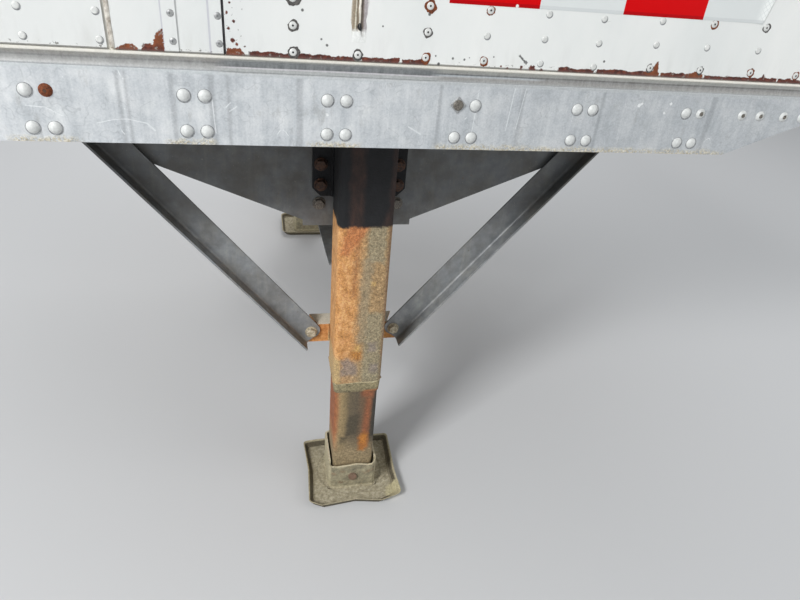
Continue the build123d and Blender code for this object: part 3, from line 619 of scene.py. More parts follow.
def white_enamel():
    """Gloss white enamel on sheet steel: hard and shiny, with rust creeping up from the lower edge
    where the paint has lifted, pits, chips and road dirt. Painted shade greys it towards the rear
    and in lines along the folds."""
    made, place = finish_of("gloss_white_enamel", roughness=0.3)
    sheen = tone(stretched(place, (1, 1, 0.3)), 160, ("#dcdfdd", "#e8e9e6"), seed=20)
    low = SHEET[0].z
    edge_rust = beyond(place, UP, low + 0.0078, low + 0.007, 0.0085, 22, seed=21)
    patchy = between(place, AHEAD, ((-0.25, 0.048), (0.302, 2.0)), 0.001, 0.006, 15, seed=22)
    gaps = between(place, AHEAD, RUST_GAPS, 0.0005, 0.006, 5, seed=50)
    edge_rust = both(both(edge_rust, outside(gaps)), patchy)
    spots = outlined(place, RUST_PATCHES, 0.0058, 5, seed=24)
    specks = near_points(place, RUST_SPECKS, 0.004, 5, seed=34)
    rust_mask = either((edge_rust, spots, specks))
    holes = both(rust_mask, patches(place, 7, 0.6, 0.02, seed=45))
    pits = both(
        patches(place, 13, 0.735, 0.006, seed=36),
        beyond(place, UP, 1.345, 1.305, 0.02, 60, seed=37),
    )
    seam_dirt = both(
        patches(place, 5, 0.64, 0.01, seed=46),
        both(
            beyond(place, AHEAD, -0.29, -0.286),
            beyond(place, AHEAD, -0.255, -0.262, 0.008, 20, seed=47)),
    )
    low_dirt = either((
        beyond(place, UP, low + 0.0024, low + 0.0016, 0.0008, 9, seed=48),
        both(
            patches(place, 6, 0.61, 0.02, seed=51),
            beyond(place, UP, low + 0.009, low + 0.006, 0.004, 15, seed=49)),
    ))
    dirt = both(
        patches(stretched(place, (1, 1, 0.25)), 26, 0.6, 0.1, seed=38),
        beyond(place, UP, 1.345, 1.3, 0.01, 60, seed=39),
    )
    rust = tone(
        place, 7, ((0.3, "#2c1411"), (0.45, "#4f261f"), (0.6, "#6b3426"), (0.76, "#8f5330")), seed=40)
    fresh = near_points(place, FRESH_RUST, 0.016, 9, seed=52, soft=0.006)
    rust = coats(rust, (
        (share(fresh, 0.42), "#97562a"),
        # Duller along the edge
        (share(beyond(place, UP, low + 0.004, low + 0.001, 0.002, 14, seed=53), 0.45), "#6c5a57"),
    ))
    scratches = both(
        hairlines(stretched(place, (0.5, 1, 1)), 150, 0.0012, seed=41),
        patches(place, 80, 0.6, 0.02, seed=42),
    )
    # Painted shade in lines along the folds
    folds = between(place, AHEAD, [(x - half, x + half) for x, half in FOLD_LINES])
    chips = near_points(place, PAINT_CHIPS, 0.0012, 4, seed=60)
    scrape = outlined(place, (PAINT_SCRAPE,), 0.0048, 4, seed=61)
    colour = coats(sheen, (
        # Greyer towards the rear: painted shade
        (share(beyond(place, AHEAD, 0.15, -0.6, 0.05, 120, seed=54), 0.5), "#cccecd"),
        (share(dirt, 0.16), "#8f8d84"),
        (share(folds, 0.55), "#a9a7b4"),
        (share(scratches, 0.5), "#a9a9a4"),
        (share(low_dirt, 0.75), "#55524c"),
        (either((pits, seam_dirt)), "#4f4641"),
        (share(either((chips, scrape)), 0.85), "#2b2928"),
        (rust_mask, rust),
        (share(holes, 0.8), "#8d8780"),
    ))
    dents = tone(place, 140, ((0.2, "#000000"), (0.8, "#ffffff")), seed=43, detail=1.0)
    scale = tone(place, 4, GREYS, seed=44)
    layers = ((dents, 1.2), (rust_mask, -0.6), (pits, -0.3), (both(scale, rust_mask), 0.6))
    return painted(made, colour, layers, (rust_mask, 0.28, 0.85))


def leg_paint():
    """Black chassis paint over a square steel tube, mostly gone to rust: grainy orange on the side
    that the weather comes from, speckled grey-green where thin paint is left, and the black paint
    itself in patches where the rail shelters it. High up below the rail a painted shadow darkens
    it all, the rust to dark brown and the black paint nearly to black. The skirt has a painted
    highlight along its upper edge and painted shade along its lower edge."""
    made, place = finish_of("rusted_chassis_paint", roughness=0.82)
    tan = tone(
        place, 9, ((0.3, "#80694c"), (0.45, "#9b7f5a"), (0.6, "#ae9068"), (0.72, "#c3a67c")), seed=60)
    orange = tone(stretched(place, (1, 1, 0.6)), 14, (
        (0.3, "#a8743f"), (0.45, "#c58d54"), (0.6, "#d6a069"), (0.75, "#e4b982")), seed=61)
    flame = tone(place, 10, ((0.3, "#a2603a"), (0.55, "#bb7546"), (0.75, "#cb8c5a")), seed=62)
    amber = tone(place, 9, ((0.3, "#a06a34"), (0.6, "#b47a39"), (0.8, "#c6904a")), seed=63)
    sage = tone(place, 5, ((0.32, "#716b58"), (0.5, "#8e866e"), (0.68, "#aaa185")), seed=64)
    slate = tone(stretched(place, (1, 1, 0.4)), 7, ((0.32, "#77705f"), (0.68, "#a1987f")), seed=98)
    mauve = tone(place, 9, ("#746a62", "#958880"), seed=65)
    dust = tone(place, 6, ("#7d7358", "#a19673"), seed=66)
    # High up below the rail, darkened by painted shadow: the black paint, and the rust
    navy = tone(place, 25, ("#08090c", "#121317"), seed=67)
    brown = tone(
        stretched(place, (1, 1, 0.4)), 12, ((0.3, "#1c1412"), (0.6, "#35231d"), (0.8, "#4c3326")), seed=68)
    scars = {
        name: outlined(place, outlines, ragged, size, seed=70, soft=0.0055)
        for name, (ragged, size, outlines) in LEG_SCARS.items()
    }
    drawn = stretched(place, (1, 1, 0.35))
    weather_side = beyond(drawn, AHEAD, 0.008, -0.026, 0.02, 26, seed=90)
    right_edge = beyond(drawn, AHEAD, 0.052, 0.06, 0.006, 20, seed=88)
    # Where the painted shadow of the rail starts
    painted_shade_above = beyond(place, UP, 0.878, 0.885, 0.012, 16, seed=91)
    lower = beyond(place, UP, 0.52, 0.44, 0.03, 40, seed=92)
    skirt = beyond(place, UP, 0.414, 0.41, 0.002, 18, seed=93)
    # A painted highlight along the skirt's upper edge
    ridge = [stroke(start, end, 0.0034) for start, end in zip(SKIRT_RIDGE, SKIRT_RIDGE[1:])]
    ridge = outlined(place, ridge, 0.002, 5, seed=86)
    pits = both(both(skirt, patches(place, 7, 0.6, 0.02, seed=94)),
                between(place, AHEAD, ((-0.03, 0.012),), 0.005))
    # Painted shade along the skirt's turned-in lower edge
    painted_shade_low_on_skirt = beyond(place, UP, 0.392, 0.378, 0.004, 12, seed=87)
    lip_rust = both(
        beyond(place, UP, 0.386, 0.38, 0.002, 12, seed=95),
        beyond(place, AHEAD, 0.014, 0.026, 0.004, 20, seed=96))
    flecks = patches(place, 3.4, 0.6, 0.03, seed=85)
    dark_flecks = patches(place, 4.2, 0.62, 0.03, seed=84)
    colour = coats(tan, (
        (weather_side, orange),
        (share(right_edge, 0.7), "#94755a"),
        (share(scars["line"], 0.6), "#7f4c2a"),
        (share(scars["sage"], 0.8), sage),
        (share(scars["slate"], 0.55), slate),
        (share(lower, 0.5), sage),
        (share(scars["beige"], 0.8), "#b59d70"),
        (share(scars["amber"], 0.9), amber),
        (share(scars["flame"], 0.85), flame),
        (share(scars["mauve"], 0.8), mauve),
        (share(scars["yellow"], 0.6), "#d0aa60"),
        (share(flecks, 0.35), "#d9c598"),
        (share(dark_flecks, 0.4), "#6b4527"),
        (skirt, dust),
        (share(painted_shade_low_on_skirt, 0.45), "#5d5140"),
        (share(lip_rust, 0.7), "#a45f34"),
        (share(pits, 0.8), "#2e2921"),
        (share(ridge, 0.9), "#d3c6a0"),
    ))
    colour = grained(colour, place, (2.8, 5.5), 0.24, seed=97)
    # Painted shadow high up below the rail: the rust dark brown, the black paint in patches darker
    colour = coats(colour, (
        (painted_shade_above, brown),
        (both(painted_shade_above, scars["navy"]), navy),
    ))
    grains = tone(place, 3, GREYS, seed=99)
    scabs = patches(place, 16, 0.52, 0.05, seed=100)
    layers = ((scabs, 0.4), (grains, 0.45), (pits, -1.5), (ridge, 0.8))
    return painted(made, colour, layers, (painted_shade_above, 0.86, 0.74))


def drop_leg_steel():
    """The sliding tube, bare steel with old grease: rusty bands run down it, with a dark greasy one
    between them and painted shade along its right edge, and its pitted foot is caked with dust."""
    made, place = finish_of("bare_steel_tube_rust_and_grease", roughness=0.75)
    drawn = stretched(place, (1, 1, 0.25))
    wander = add(
        place, "TexNoise", {"Vector": drawn, "Scale": 1 / (30 * MM), "Detail": 5.0, "Roughness": 0.6})
    reach = reach_along(place, AHEAD)
    reach = calculated("MULTIPLY_ADD", wander.outputs["Fac"], 0.026 / GRADIENT_SPAN, reach)
    across = ranged(reach, scaled(-0.049), scaled(0.076))
    # Bands across the tube; the darkest stops, at its right edge, are painted shade
    bands = ramp(across, (
        (0.00, "#a8683e"), (0.1, "#a3805a"), (0.16, "#9a8560"), (0.26, "#857455"),
        (0.36, "#685c48"), (0.52, "#5f5443"), (0.64, "#6a5540"), (0.8, "#6e5038"),
        (0.88, "#3f392f"), (1.00, "#35322c"),
    ))
    caked = tone(place, 7, ((0.3, "#77684e"), (0.5, "#8f7e60"), (0.7, "#a99673")), seed=101)
    foot = beyond(place, UP, 0.205, 0.14, 0.03, 30, seed=102)
    rusty = tone(place, 12, ((0.3, "#77482e"), (0.55, "#94593a"), (0.8, "#ab6c45")), seed=103)
    flame = tone(place, 10, ((0.3, "#8d5729"), (0.55, "#ad6c2e"), (0.8, "#c27d36")), seed=104)
    scars = {
        name: outlined(place, outlines, ragged, size, seed=105, soft=0.006)
        for name, (ragged, size, outlines) in DROP_SCARS.items()
    }
    pits = both(foot, patches(place, 6, 0.66, 0.02, seed=116))
    colour = coats(bands, (
        (share(scars["dark"], 0.75), "#474134"),
        (share(scars["red"], 0.8), rusty),
        (foot, caked),
        (share(scars["orange"], 0.9), flame),
        (share(scars["bright"], 0.6), "#cb8636"),
        (share(pits, 0.75), "#7a4a30"),
    ))
    colour = grained(colour, place, (3, 7), 0.16, seed=117)
    grains = tone(place, 4, GREYS, seed=119)
    return painted(made, colour, ((foot, 0.6), (grains, 0.5), (pits, -0.6)), (across, 0.85, 0.6))


def dusty_foot_steel():
    """Pressed and folded plate at the ground, its paint worn away and caked with pale dust: greenish
    beige, with painted highlights on its edges, on the shoe's rim and on a corner of the near shoe,
    dust and a painted highlight on the foot box's upper faces, and painted shade inside the
    shoe's rim."""
    made, place = finish_of("dust_caked_steel_plate", roughness=0.9)
    dusty = tone(place, 22, (
        (0.3, "#7a7460"), (0.45, "#8f8871"), (0.6, "#a0987e"), (0.75, "#b3aa8e")), seed=120)
    lying = facing_up(place, 0.55, 0.9)
    from_above = add(place, "Mapping", {"Vector": place, "Rotation": (math.radians(90), 0, 0)}).outputs[0]
    legs = [((0.0, sign * LEG_Y), 0.1) for sign in SIDES.values()]
    by_the_leg = near_points(from_above, legs, soft=0.004)
    away = outside(by_the_leg)
    # Painted shade inside the shoe's rim; then painted highlights on its rim and on the near shoe's corner
    painted_shade_in_rim = both(away, beyond(place, UP, 0.0215, 0.0185, 0.002, 12, seed=124))
    rim = both(away, beyond(place, UP, 0.0205, 0.0225, 0.001, 12, seed=131))
    corner = near_points(from_above, (SHOE_CORNER_HIGHLIGHT,), 0.018, 20, seed=132, soft=0.004)
    rust = both(patches(place, 18, 0.58, 0.05, seed=121), patches(place, 4, 0.45, 0.1, seed=122))
    # Painted highlights on the foot box's edges
    edges = either((
        beyond(place, AHEAD, -0.063, -0.0675, 0.002, 15, seed=133),
        beyond(place, AHEAD, 0.0655, 0.069, 0.002, 15, seed=134),
        beyond(place, UP, 0.015, 0.011, 0.003, 12, seed=135),
    ))
    edges = both(edges, by_the_leg)
    plate = tone(place, 9, ((0.3, "#8f8770"), (0.5, "#a89f87"), (0.7, "#c3bba4")), seed=136)
    colour = coats(dusty, (
        (share(rust, 0.55), "#7f5f44"),
        (share(edges, 0.55), "#c6bc9c"),
        (lying, plate),
        (share(painted_shade_in_rim, 0.85), "#4b4436"),
        # The shoe's floor
        (both(both(lying, away), beyond(place, UP, 0.012, 0.01)), plate),
        (share(rim, 0.75), "#b9af92"),
        # Dust on the foot box's upper faces, with a painted highlight
        (share(both(lying, beyond(place, UP, 0.07, 0.08)), 0.8), "#d9cfb2"),
        (share(corner, 0.85), "#c2b995"),
    ))
    colour = grained(colour, place, (3, 8), 0.16, seed=127)
    grains = tone(place, 2.5, GREYS, seed=129)
    dents = tone(place, 35, ((0.25, "#000000"), (0.75, "#ffffff")), seed=130, detail=2.0)
    return painted(made, colour, ((dents, 1.2), (rust, -0.4), (grains, 0.35)))


def galvanised_steel():
    """Hot-dip galvanised steel gone dull: mottled zinc grey with a faint spangle, pale runs and brown
    road film, and painted shade high up, under the trailer."""
    made, place = finish_of("dull_galvanised_steel", metallic=0.35, roughness=0.55)
    spangle = add(place, "TexVoronoi", {"Vector": place, "Scale": 1 / (11 * MM)})
    flat = add(place, "RGBToBW", {0: spangle.outputs["Color"]}).outputs[0]
    base = ramp(flat, ((0.1, "#84878a"), (0.9, "#96999b")))
    mottle = tone(place, 28, ((0.3, "#767a7d"), (0.5, "#8f9294"), (0.7, "#aaaca9")), seed=140)
    runs = patches(stretched(place, (1, 1, 0.12)), 16, 0.6, 0.08, seed=141)
    film = patches(place, 70, 0.52, 0.1, seed=142)
    brown = patches(place, 12, 0.68, 0.04, seed=143)
    # Painted shade high up, under the trailer
    painted_shade_above = beyond(place, UP, 0.78, 0.9, 0.05, 60, seed=145)
    splashes = patches(place, 5, 0.66, 0.03, seed=146)
    colour = coats(base, (
        (0.6, mottle),
        (share(runs, 0.35), "#b3b3ac"),
        (share(painted_shade_above, 0.65), "#434546"),
        (share(film, 0.35), "#6b655a"),
        (share(brown, 0.5), "#6a4f38"),
        (share(splashes, 0.4), "#a8a69c"),
    ))
    grains = tone(place, 5, GREYS, seed=144)
    return painted(made, colour, ((grains, 0.12),), (film, 0.48, 0.75))


def orange_rust():
    """Bare plate under an even coat of fresh orange rust, paler on its top flange where grit lies,
    and paler still there with painted light.
    """
    made, place = finish_of("orange_rusted_plate", roughness=0.9)
    rust = tone(place, 10, (
        (0.3, "#a56a36"), (0.45, "#c6884f"), (0.6, "#dba063"), (0.75, "#e8b67c")), seed=160)
    lying = facing_up(place, 0.7, 0.95)
    # Grit on the faces that look up, made paler with painted light
    grit = tone(place, 4, ("#cbc2ad", "#ece5d4"), seed=161)
    dark = patches(place, 9, 0.64, 0.05, seed=162)
    colour = coats(rust, ((share(dark, 0.6), "#7a4826"), (lying, grit)))
    grains = tone(place, 3, GREYS, seed=163)
    return painted(made, colour, ((grains, 0.5),))


def beam_aluminium():
    """Extruded aluminium cross members, never polished: flat grey with road film on the underside."""
    made, place = finish_of("dull_extruded_aluminium", metallic=0.4, roughness=0.55)
    base = tone(stretched(place, (1, 0.08, 1)), 14, ("#85898c", "#a3a7a9"), seed=180)
    film = patches(place, 60, 0.48, 0.12, seed=181)
    splash = patches(place, 7, 0.62, 0.05, seed=182)
    colour = coats(base, (
        (share(film, 0.45), "#77705f"),
        (share(splash, 0.5), "#5f594d"),
    ))
    drawn = tone(stretched(place, (1, 0.03, 1)), 2.5, GREYS, seed=183)
    return painted(made, colour, ((drawn, 0.06), (splash, 0.1)))


def laminated_hardwood():
    """Oak floor boards glued up from narrow strips: warm brown sapwood and heartwood, dark glue
    lines, grain along the strips, grey wheel tracks and dirt in the open pores."""
    made, place = finish_of("laminated_oak", roughness=0.7)
    strips = add(
        place, "TexBrick",
        {"Vector": place, "Color1": "#6b6b6b", "Color2": "#f0f0f0", "Mortar": "#000000", "Scale": 1.0,
         "Mortar Size": 0.0006, "Mortar Smooth": 0.1, "Brick Width": 0.62, "Row Height": 0.0336},
        offset=0.37, offset_frequency=2, squash=1.0,
    )
    shade = add(place, "RGBToBW", {0: strips.outputs["Color"]}).outputs[0]
    base = ramp(shade, ((0.15, "#80613f"), (0.5, "#9c7a52"), (0.95, "#b4946a")))
    grain = patches(stretched(place, (0.035, 1, 1)), 5, 0.55, 0.08, seed=200)
    pores = patches(stretched(place, (0.02, 1, 1)), 1.6, 0.62, 0.05, seed=201)
    tracks = both(
        patches(stretched(place, (0.05, 1, 1)), 150, 0.5, 0.1, seed=202),
        patches(place, 25, 0.42, 0.1, seed=203),
    )
    stains = patches(place, 90, 0.64, 0.02, seed=204)
    colour = coats(base, (
        (share(grain, 0.35), "#6d4f30"),
        (share(pores, 0.45), "#4a3623"),
        (share(tracks, 0.45), "#6a6258"),
        (share(stains, 0.5), "#453829"),
        (strips.outputs["Fac"], "#33271a"),
    ))
    layers = ((grain, -0.15), (pores, -0.2), (strips.outputs["Fac"], -0.5))
    return painted(made, colour, layers, (tracks, 0.6, 0.85))


def cast_iron():
    """Sand-cast iron under black chassis paint: coarse skin, soft shine, rust in the low places."""
    made, place = finish_of("black_painted_cast_iron", roughness=0.5)
    paint = tone(place, 30, ("#1f2124", "#2f3134"), seed=220)
    rust = both(patches(place, 22, 0.56, 0.04, seed=221), patches(place, 4, 0.44, 0.08, seed=222))
    dust = patches(place, 50, 0.55, 0.15, seed=223)
    colour = coats(paint, (
        (share(dust, 0.25), "#6f6757"),
        (rust, "#6f4227"),
    ))
    skin = tone(place, 3, GREYS, seed=224)
    return painted(made, colour, ((skin, 0.35), (rust, -0.3)), (rust, 0.45, 0.9))


def dark_steel():
    """Plain forged and drawn steel, handled and greased: dark brown-grey with a skin of fine rust."""
    made, place = finish_of("handled_dark_steel", metallic=0.5, roughness=0.5)
    base = tone(place, 25, ((0.3, "#4b4540"), (0.5, "#645d56"), (0.7, "#7d766d")), seed=240)
    low = beyond(place, UP, 0.14, 0.1)
    rust = patches(place, 14, 0.55, 0.06, seed=241)
    fine = patches(place, 2.5, 0.5, 0.1, seed=242)
    colour = coats(base, (
        (share(rust, 0.75), "#7b4b2b"),
        (share(fine, 0.25), "#8c5a35"),
        (share(low, 0.85), "#a08674"),
    ))
    return painted(made, colour, ((fine, 0.1), (rust, 0.1)), (rust, 0.42, 0.85))


def speckled(name, colours, size, metallic, roughness, depth, seed):
    """A small part's finish: one colour that varies in specks of a size in millimetres."""
    made, place = finish_of(name, metallic, roughness)
    low, high = colours
    skin = tone(place, size, GREYS, seed + 1)
    return painted(made, tone(place, size, ((0.35, low), (0.65, high)), seed), ((skin, depth),))


def prismatic_tape(name, low, high, edging, seed):
    """Reflective tape: a smooth plastic face over small prisms, which show as a fine comb, darker
    along its lower edge. The cells are drawn 7 mm across, as coarse as they need to show."""
    made, place = finish_of(name, roughness=0.42, specular=0.12)
    turned = add(place, "Mapping", {"Vector": place, "Rotation": (0, math.radians(45), 0)}).outputs[0]
    cells = add(place, "TexVoronoi", {
        "Vector": turned, "Scale": 1 / (7 * MM), "Randomness": 0.0}, feature="DISTANCE_TO_EDGE")
    inner = ranged(cells.outputs["Distance"], 0.02, 0.12)
    film = patches(stretched(place, (0.2, 1, 1)), 9, 0.55, 0.12, seed=seed)
    face = add(place, "Mix", {0: inner, 6: low, 7: high}, data_type="RGBA").outputs[2]
    edge = beyond(place, (-TAPE_RISE, 0, 1), TAPE_LOW + 0.0065, TAPE_LOW + 0.005, 0.001, 9, seed=seed + 1)
    nick = near_points(place, ((TAPE_NICK, 0.0028),), 0.0017, 4, seed=seed + 2)
    colour = coats(face, (
        (share(film, 0.12), low),
        (share(edge, 0.8), edging),
        (nick, "#e4e5e2"),
    ))
    return painted(made, colour, ((inner, 0.04),))


def finish_nodes():
    """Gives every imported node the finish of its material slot."""
    finishes = {
        "rail_aluminium": mill_aluminium(),
        "sheet_white_paint": white_enamel(),
        "beam_steel": beam_aluminium(),
        "floor_hardwood": laminated_hardwood(),
        "leg_rusty_paint": leg_paint(),
        "drop_leg_steel": drop_leg_steel(),
        "foot_steel": dusty_foot_steel(),
        "tab_rust": orange_rust(),
        "galvanised_steel": galvanised_steel(),
        "gearbox_cast_iron": cast_iron(),
        "shaft_steel": dark_steel(),
    }
    for row in frame["record"]["subparts"]:
        node = NODES[row["node"]]
        node.data.materials.clear()
        node.data.materials.append(finishes[row["material_slot"]])
    return finishes


def choose(*pieces):
    """Selects some pieces and nothing else, and makes the first one the active one."""
    bpy.ops.object.select_all(action="DESELECT")
    for piece in pieces:
        piece.select_set(True)
    bpy.context.view_layer.objects.active = pieces[0]


def primitive(kind, **settings):
    """Adds one of Blender's mesh primitives on its own and puts its place into its mesh."""
    bpy.ops.object.select_all(action="DESELECT")
    getattr(bpy.ops.mesh, f"primitive_{kind}_add")(**settings)
    bpy.ops.object.transform_apply(location=True, rotation=True, scale=True)
    return bpy.context.object


def shape(piece, *moves):
    """Shapes a mesh in edit mode. Each move is a test that picks faces, or None to go on with what
    is selected, then an operator of bpy.ops.mesh or transform, and its settings."""
    choose(piece)
    bpy.ops.object.mode_set(mode="EDIT")
    bpy.ops.mesh.select_mode(type="FACE")
    for test, operator, settings in moves:
        if test:
            mesh = bmesh.from_edit_mesh(piece.data)
            for face in mesh.faces:
                face.select_set(bool(test(face)))
            mesh.select_flush(True)
            bmesh.update_edit_mesh(piece.data)
        operator(**settings)
    bpy.ops.object.mode_set(mode="OBJECT")
    return piece


def joined(pieces, name):
    """Several meshes as one."""
    choose(*pieces)
    bpy.ops.object.join()
    pieces[0].name = name
    return pieces[0]


def modified(piece, kind, **settings):
    """Adds a modifier with its settings and applies it."""
    choose(piece)
    modifier = piece.modifiers.new(kind, kind)
    assign(modifier, settings)
    bpy.ops.object.modifier_apply(modifier=modifier.name)


def lifted(height):
    """The settings of an extrusion that goes up by a height."""
    return {"TRANSFORM_OT_translate": {"value": (0, 0, height)}}


def everywhere(face):
    """Picks every face, whichever it is."""
    return True


def top(face):
    """Picks the faces that look up."""
    return face.normal.z > 0.99


def thicken(sheet, thickness):
    """Makes a thin solid of a sheet of faces, half of it on either side."""
    modified(sheet, "SOLIDIFY", thickness=thickness, offset=0)
    shape(sheet, (everywhere, bpy.ops.mesh.normals_make_consistent, {"inside": False}))


def turned_to(direction, spin=0.0):
    """Turns a piece that was modelled pointing up so that it points in a direction."""
    turn = Vector(direction).to_track_quat("Z", "Y").to_matrix().to_4x4()
    return turn @ Matrix.Rotation(spin, 4, "Z")


def at(x, y, z):
    """The matrix that moves something to a place."""
    return Matrix.Translation((x, y, z))


def copies(template, name, matrices):
    """Copies of a small piece, each with its own mesh, joined into one. The template goes away."""
    made = []
    for matrix in matrices:
        copy = template.copy()
        copy.data = template.data.copy()
        copy.data.transform(matrix)
        bpy.context.scene.collection.objects.link(copy)
        made.append(copy)
    bpy.data.objects.remove(template)
    return joined(made, name)


def settle(piece, finish, body="bay", smooth=40):
    """Gives a finished piece its finish, slot and body, with its sharp edges kept sharp."""
    piece.data.materials.clear()
    piece.data.materials.append(FINISHES[finish])
    choose(piece)
    bpy.ops.object.shade_smooth_by_angle(angle=math.radians(smooth))
    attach(piece, body)
    return piece


def fitted(template, name, matrices, finish, body="bay", smooth=40):
    """Copies of a small piece as one finished piece."""
    return settle(copies(template, name, matrices), finish, body, smooth)


def dome(diameter, height, segments=16):
    """A rivet's domed head: a ball cut off at its base, with a short skirt let into the plate."""
    radius = (diameter**2 / 4 + height**2) / (2 * height)
    ball = primitive(
        "uv_sphere", segments=segments, ring_count=14, radius=radius, location=(0, 0, height - radius))
    cut = {"plane_co": (0, 0, 0), "plane_no": (0, 0, 1), "clear_inner": True, "use_fill": True}
    return shape(
        ball,
        (everywhere, bpy.ops.mesh.bisect, cut),
        (lambda face: face.normal.z < -0.9, bpy.ops.mesh.extrude_region_move, lifted(-0.6 * MM)),
    )


def pulled_head(diameter, height, hole=2.4 * MM):
    """A pulled rivet's head: a low dome with the hole that its broken stem left."""
    head = dome(diameter, height)
    return shape(
        head,
        (lambda face: face.calc_center_median().xy.length < hole and face.normal.z > 0.5,
         bpy.ops.mesh.delete, {"type": "FACE"}),
        (None, bpy.ops.mesh.select_all, {"action": "SELECT"}),
        (None, bpy.ops.mesh.region_to_loop, {}),
        (None, bpy.ops.mesh.extrude_edges_move, lifted(-2 * MM)),
        (None, bpy.ops.mesh.fill, {}),
    )


def pressed(head, most):
    """A head pressed flatter, so that it stands no more than so far out, its edge still steep."""
    for vertex in head.data.vertices:
        if vertex.co.z > 0:
            vertex.co.z = most * math.tanh(vertex.co.z / most)
    return head


def prism(sides, radius, height, chamfer, z=0.0):
    """A short bar with any number of sides, standing on z, its upper edge chamfered."""
    bar = primitive("cylinder", vertices=sides, radius=radius, depth=height, location=(0, 0, z + height / 2))
    return shape(bar, (top, bpy.ops.mesh.bevel, {"offset": chamfer, "segments": 1, "affect": "EDGES"}))


def bolt_head(size):
    """A hex bolt's head on its washer, pointing up; size is the thread's diameter."""
    washer = prism(20, size * 1.05, size * 0.18, size * 0.04)
    head = prism(6, size * 0.87, size * 0.65, size * 0.09, size * 0.18)
    return joined([washer, head], "bolt_head")


def nut(size):
    """A washer, a hex nut and the bolt's end beyond it, pointing up."""
    washer = prism(20, size * 1.05, size * 0.18, size * 0.04)
    body = prism(6, size * 0.87, size * 0.85, size * 0.1, size * 0.18)
    end = prism(14, size * 0.48, size * 1.45, size * 0.08)
    return joined([washer, body, end], "nut")


def weld_run(name, corners, width):
    """A weld bead along straight runs: overlapping flattened scales, one at each WELD_STEP."""
    scale = primitive("uv_sphere", segments=8, ring_count=6, radius=1)
    scale.data.transform(Matrix.Diagonal((width / 2, width / 2, WELD_STEP * 0.95, 1)))
    matrices = []
    for start, end in zip(corners, corners[1:]):
        start, end = Vector(start), Vector(end)
        count = max(1, round((end - start).length / WELD_STEP))
        for number in range(count):
            place = start.lerp(end, (number + 0.5) / count)
            wobble = Vector([SCATTER.uniform(-0.3, 0.3) * MM for _ in range(3)])
            size = Matrix.Scale(SCATTER.uniform(0.88, 1.12), 4)
            matrices.append(Matrix.Translation(place + wobble) @ turned_to(end - start) @ size)
    return copies(scale, name, matrices)


def rail_rivets():
    """The rails' rivets: domed heads outside with a painted shadow below them, pulled ones on the rise
    at the front, and the collars of their tails on the clips inside."""
    shallow = BEAMS[-1][0].z
    places = [
        (x + apart, z)
        for x in BEAM_XS
        for apart in (-RIVET_APART / 2, RIVET_APART / 2)
        for z in RAIL_ROWS
        if z > shallow or x < BEAM_XS[-2] - 0.01
    ]
    odd = [(x, RAIL_ROWS[1]) for x in (RUSTED_RIVET_X, ODD_BOLT_X, LONE_RIVET_X)]
    for side, sign in SIDES.items():
        out, back = turned_to((0, sign, 0)), turned_to((0, -sign, 0))
        face, inside = sign * RAIL_FACE_Y, sign * (RAIL_IN_Y - 5 * MM)
        shown = [
            (x, z) for x, z in places
            if abs(x - BEAM_XS[8]) > RIVET_APART and (side == "left" or (x, z) not in odd)
        ]
        fitted(
            dome(21.5 * MM, 5.7 * MM), f"{side}_rail_rivets", [at(x, face, z) @ out for x, z in shown],
            "rivet")
        # A painted shadow below each head
        fitted(
            prism(18, 12.2 * MM, 0.4 * MM, 0.2 * MM), f"{side}_rail_rivet_painted_shadows",
            [at(x + 0.5 * MM, face, z - 0.9 * MM) @ out for x, z in shown],
            "painted_shadow_disc")
        pulled = [(x, RAIL_ROWS[1] - 0.5 * MM) for x in PULLED_RIVET_XS]
        if side == "right":
            pulled.append((LONE_RIVET_X, RAIL_ROWS[1]))
        pulled = [at(x, face, z) @ out for x, z in pulled]
        fitted(
            pulled_head(20.5 * MM, 5.6 * MM, 4.2 * MM), f"{side}_pulled_rivets", pulled,
            "rivet")
        fitted(
            prism(10, 3.9 * MM, 4.3 * MM, 0.8 * MM), f"{side}_pulled_rivet_stems", pulled,
            "greasy_bolt")
        collar = joined(
            [prism(14, 7.5 * MM, 9 * MM, 1.5 * MM), prism(10, 4.2 * MM, 12 * MM, 1 * MM)], "collar")
        fitted(
            collar, f"{side}_rail_rivet_collars", [at(x, inside, z) @ back for x, z in places],
            "rivet")


def odd_rail_fasteners():
    """The near rail's two odd fasteners: a rusted rivet with an open stem, and a bolt with a square
    washer under its dark head."""
    out = turned_to((0, -1, 0))
    rivet = [at(RUSTED_RIVET_X - 3 * MM, -RAIL_FACE_Y, RAIL_ROWS[1]) @ out]
    bolt = [at(ODD_BOLT_X, -RAIL_FACE_Y, RAIL_ROWS[1]) @ out]
    fitted(
        pulled_head(22 * MM, 5.7 * MM), "right_rail_rusted_rivet", rivet, "brown_rust")
    fitted(
        prism(12, 3.6 * MM, 5.0 * MM, 0.6 * MM), "right_rail_rusted_rivet_stem", rivet,
        "dark_bolt")
    fitted(
        prism(4, 15.8 * MM, 2.2 * MM, 0.7 * MM), "right_rail_square_washer", bolt,
        "dull_rivet")
    fitted(
        prism(10, 9.8 * MM, 5.6 * MM, 2.4 * MM), "right_rail_dark_bolt", bolt,
        "greasy_bolt", smooth=20)


def chipped_ring(radius):
    """The ragged ring round a rivet where the paint has chipped off, a thin scab on the sheet."""
    disc = primitive("circle", vertices=22, radius=radius, fill_type="NGON")
    reach = 1.0
    for vertex in disc.data.vertices:
        reach = 0.45 * reach + 0.55 * SCATTER.uniform(0.74, 1.24)
        vertex.co.xy *= reach
    return shape(disc, (everywhere, bpy.ops.mesh.extrude_region_move, lifted(0.35 * MM)))


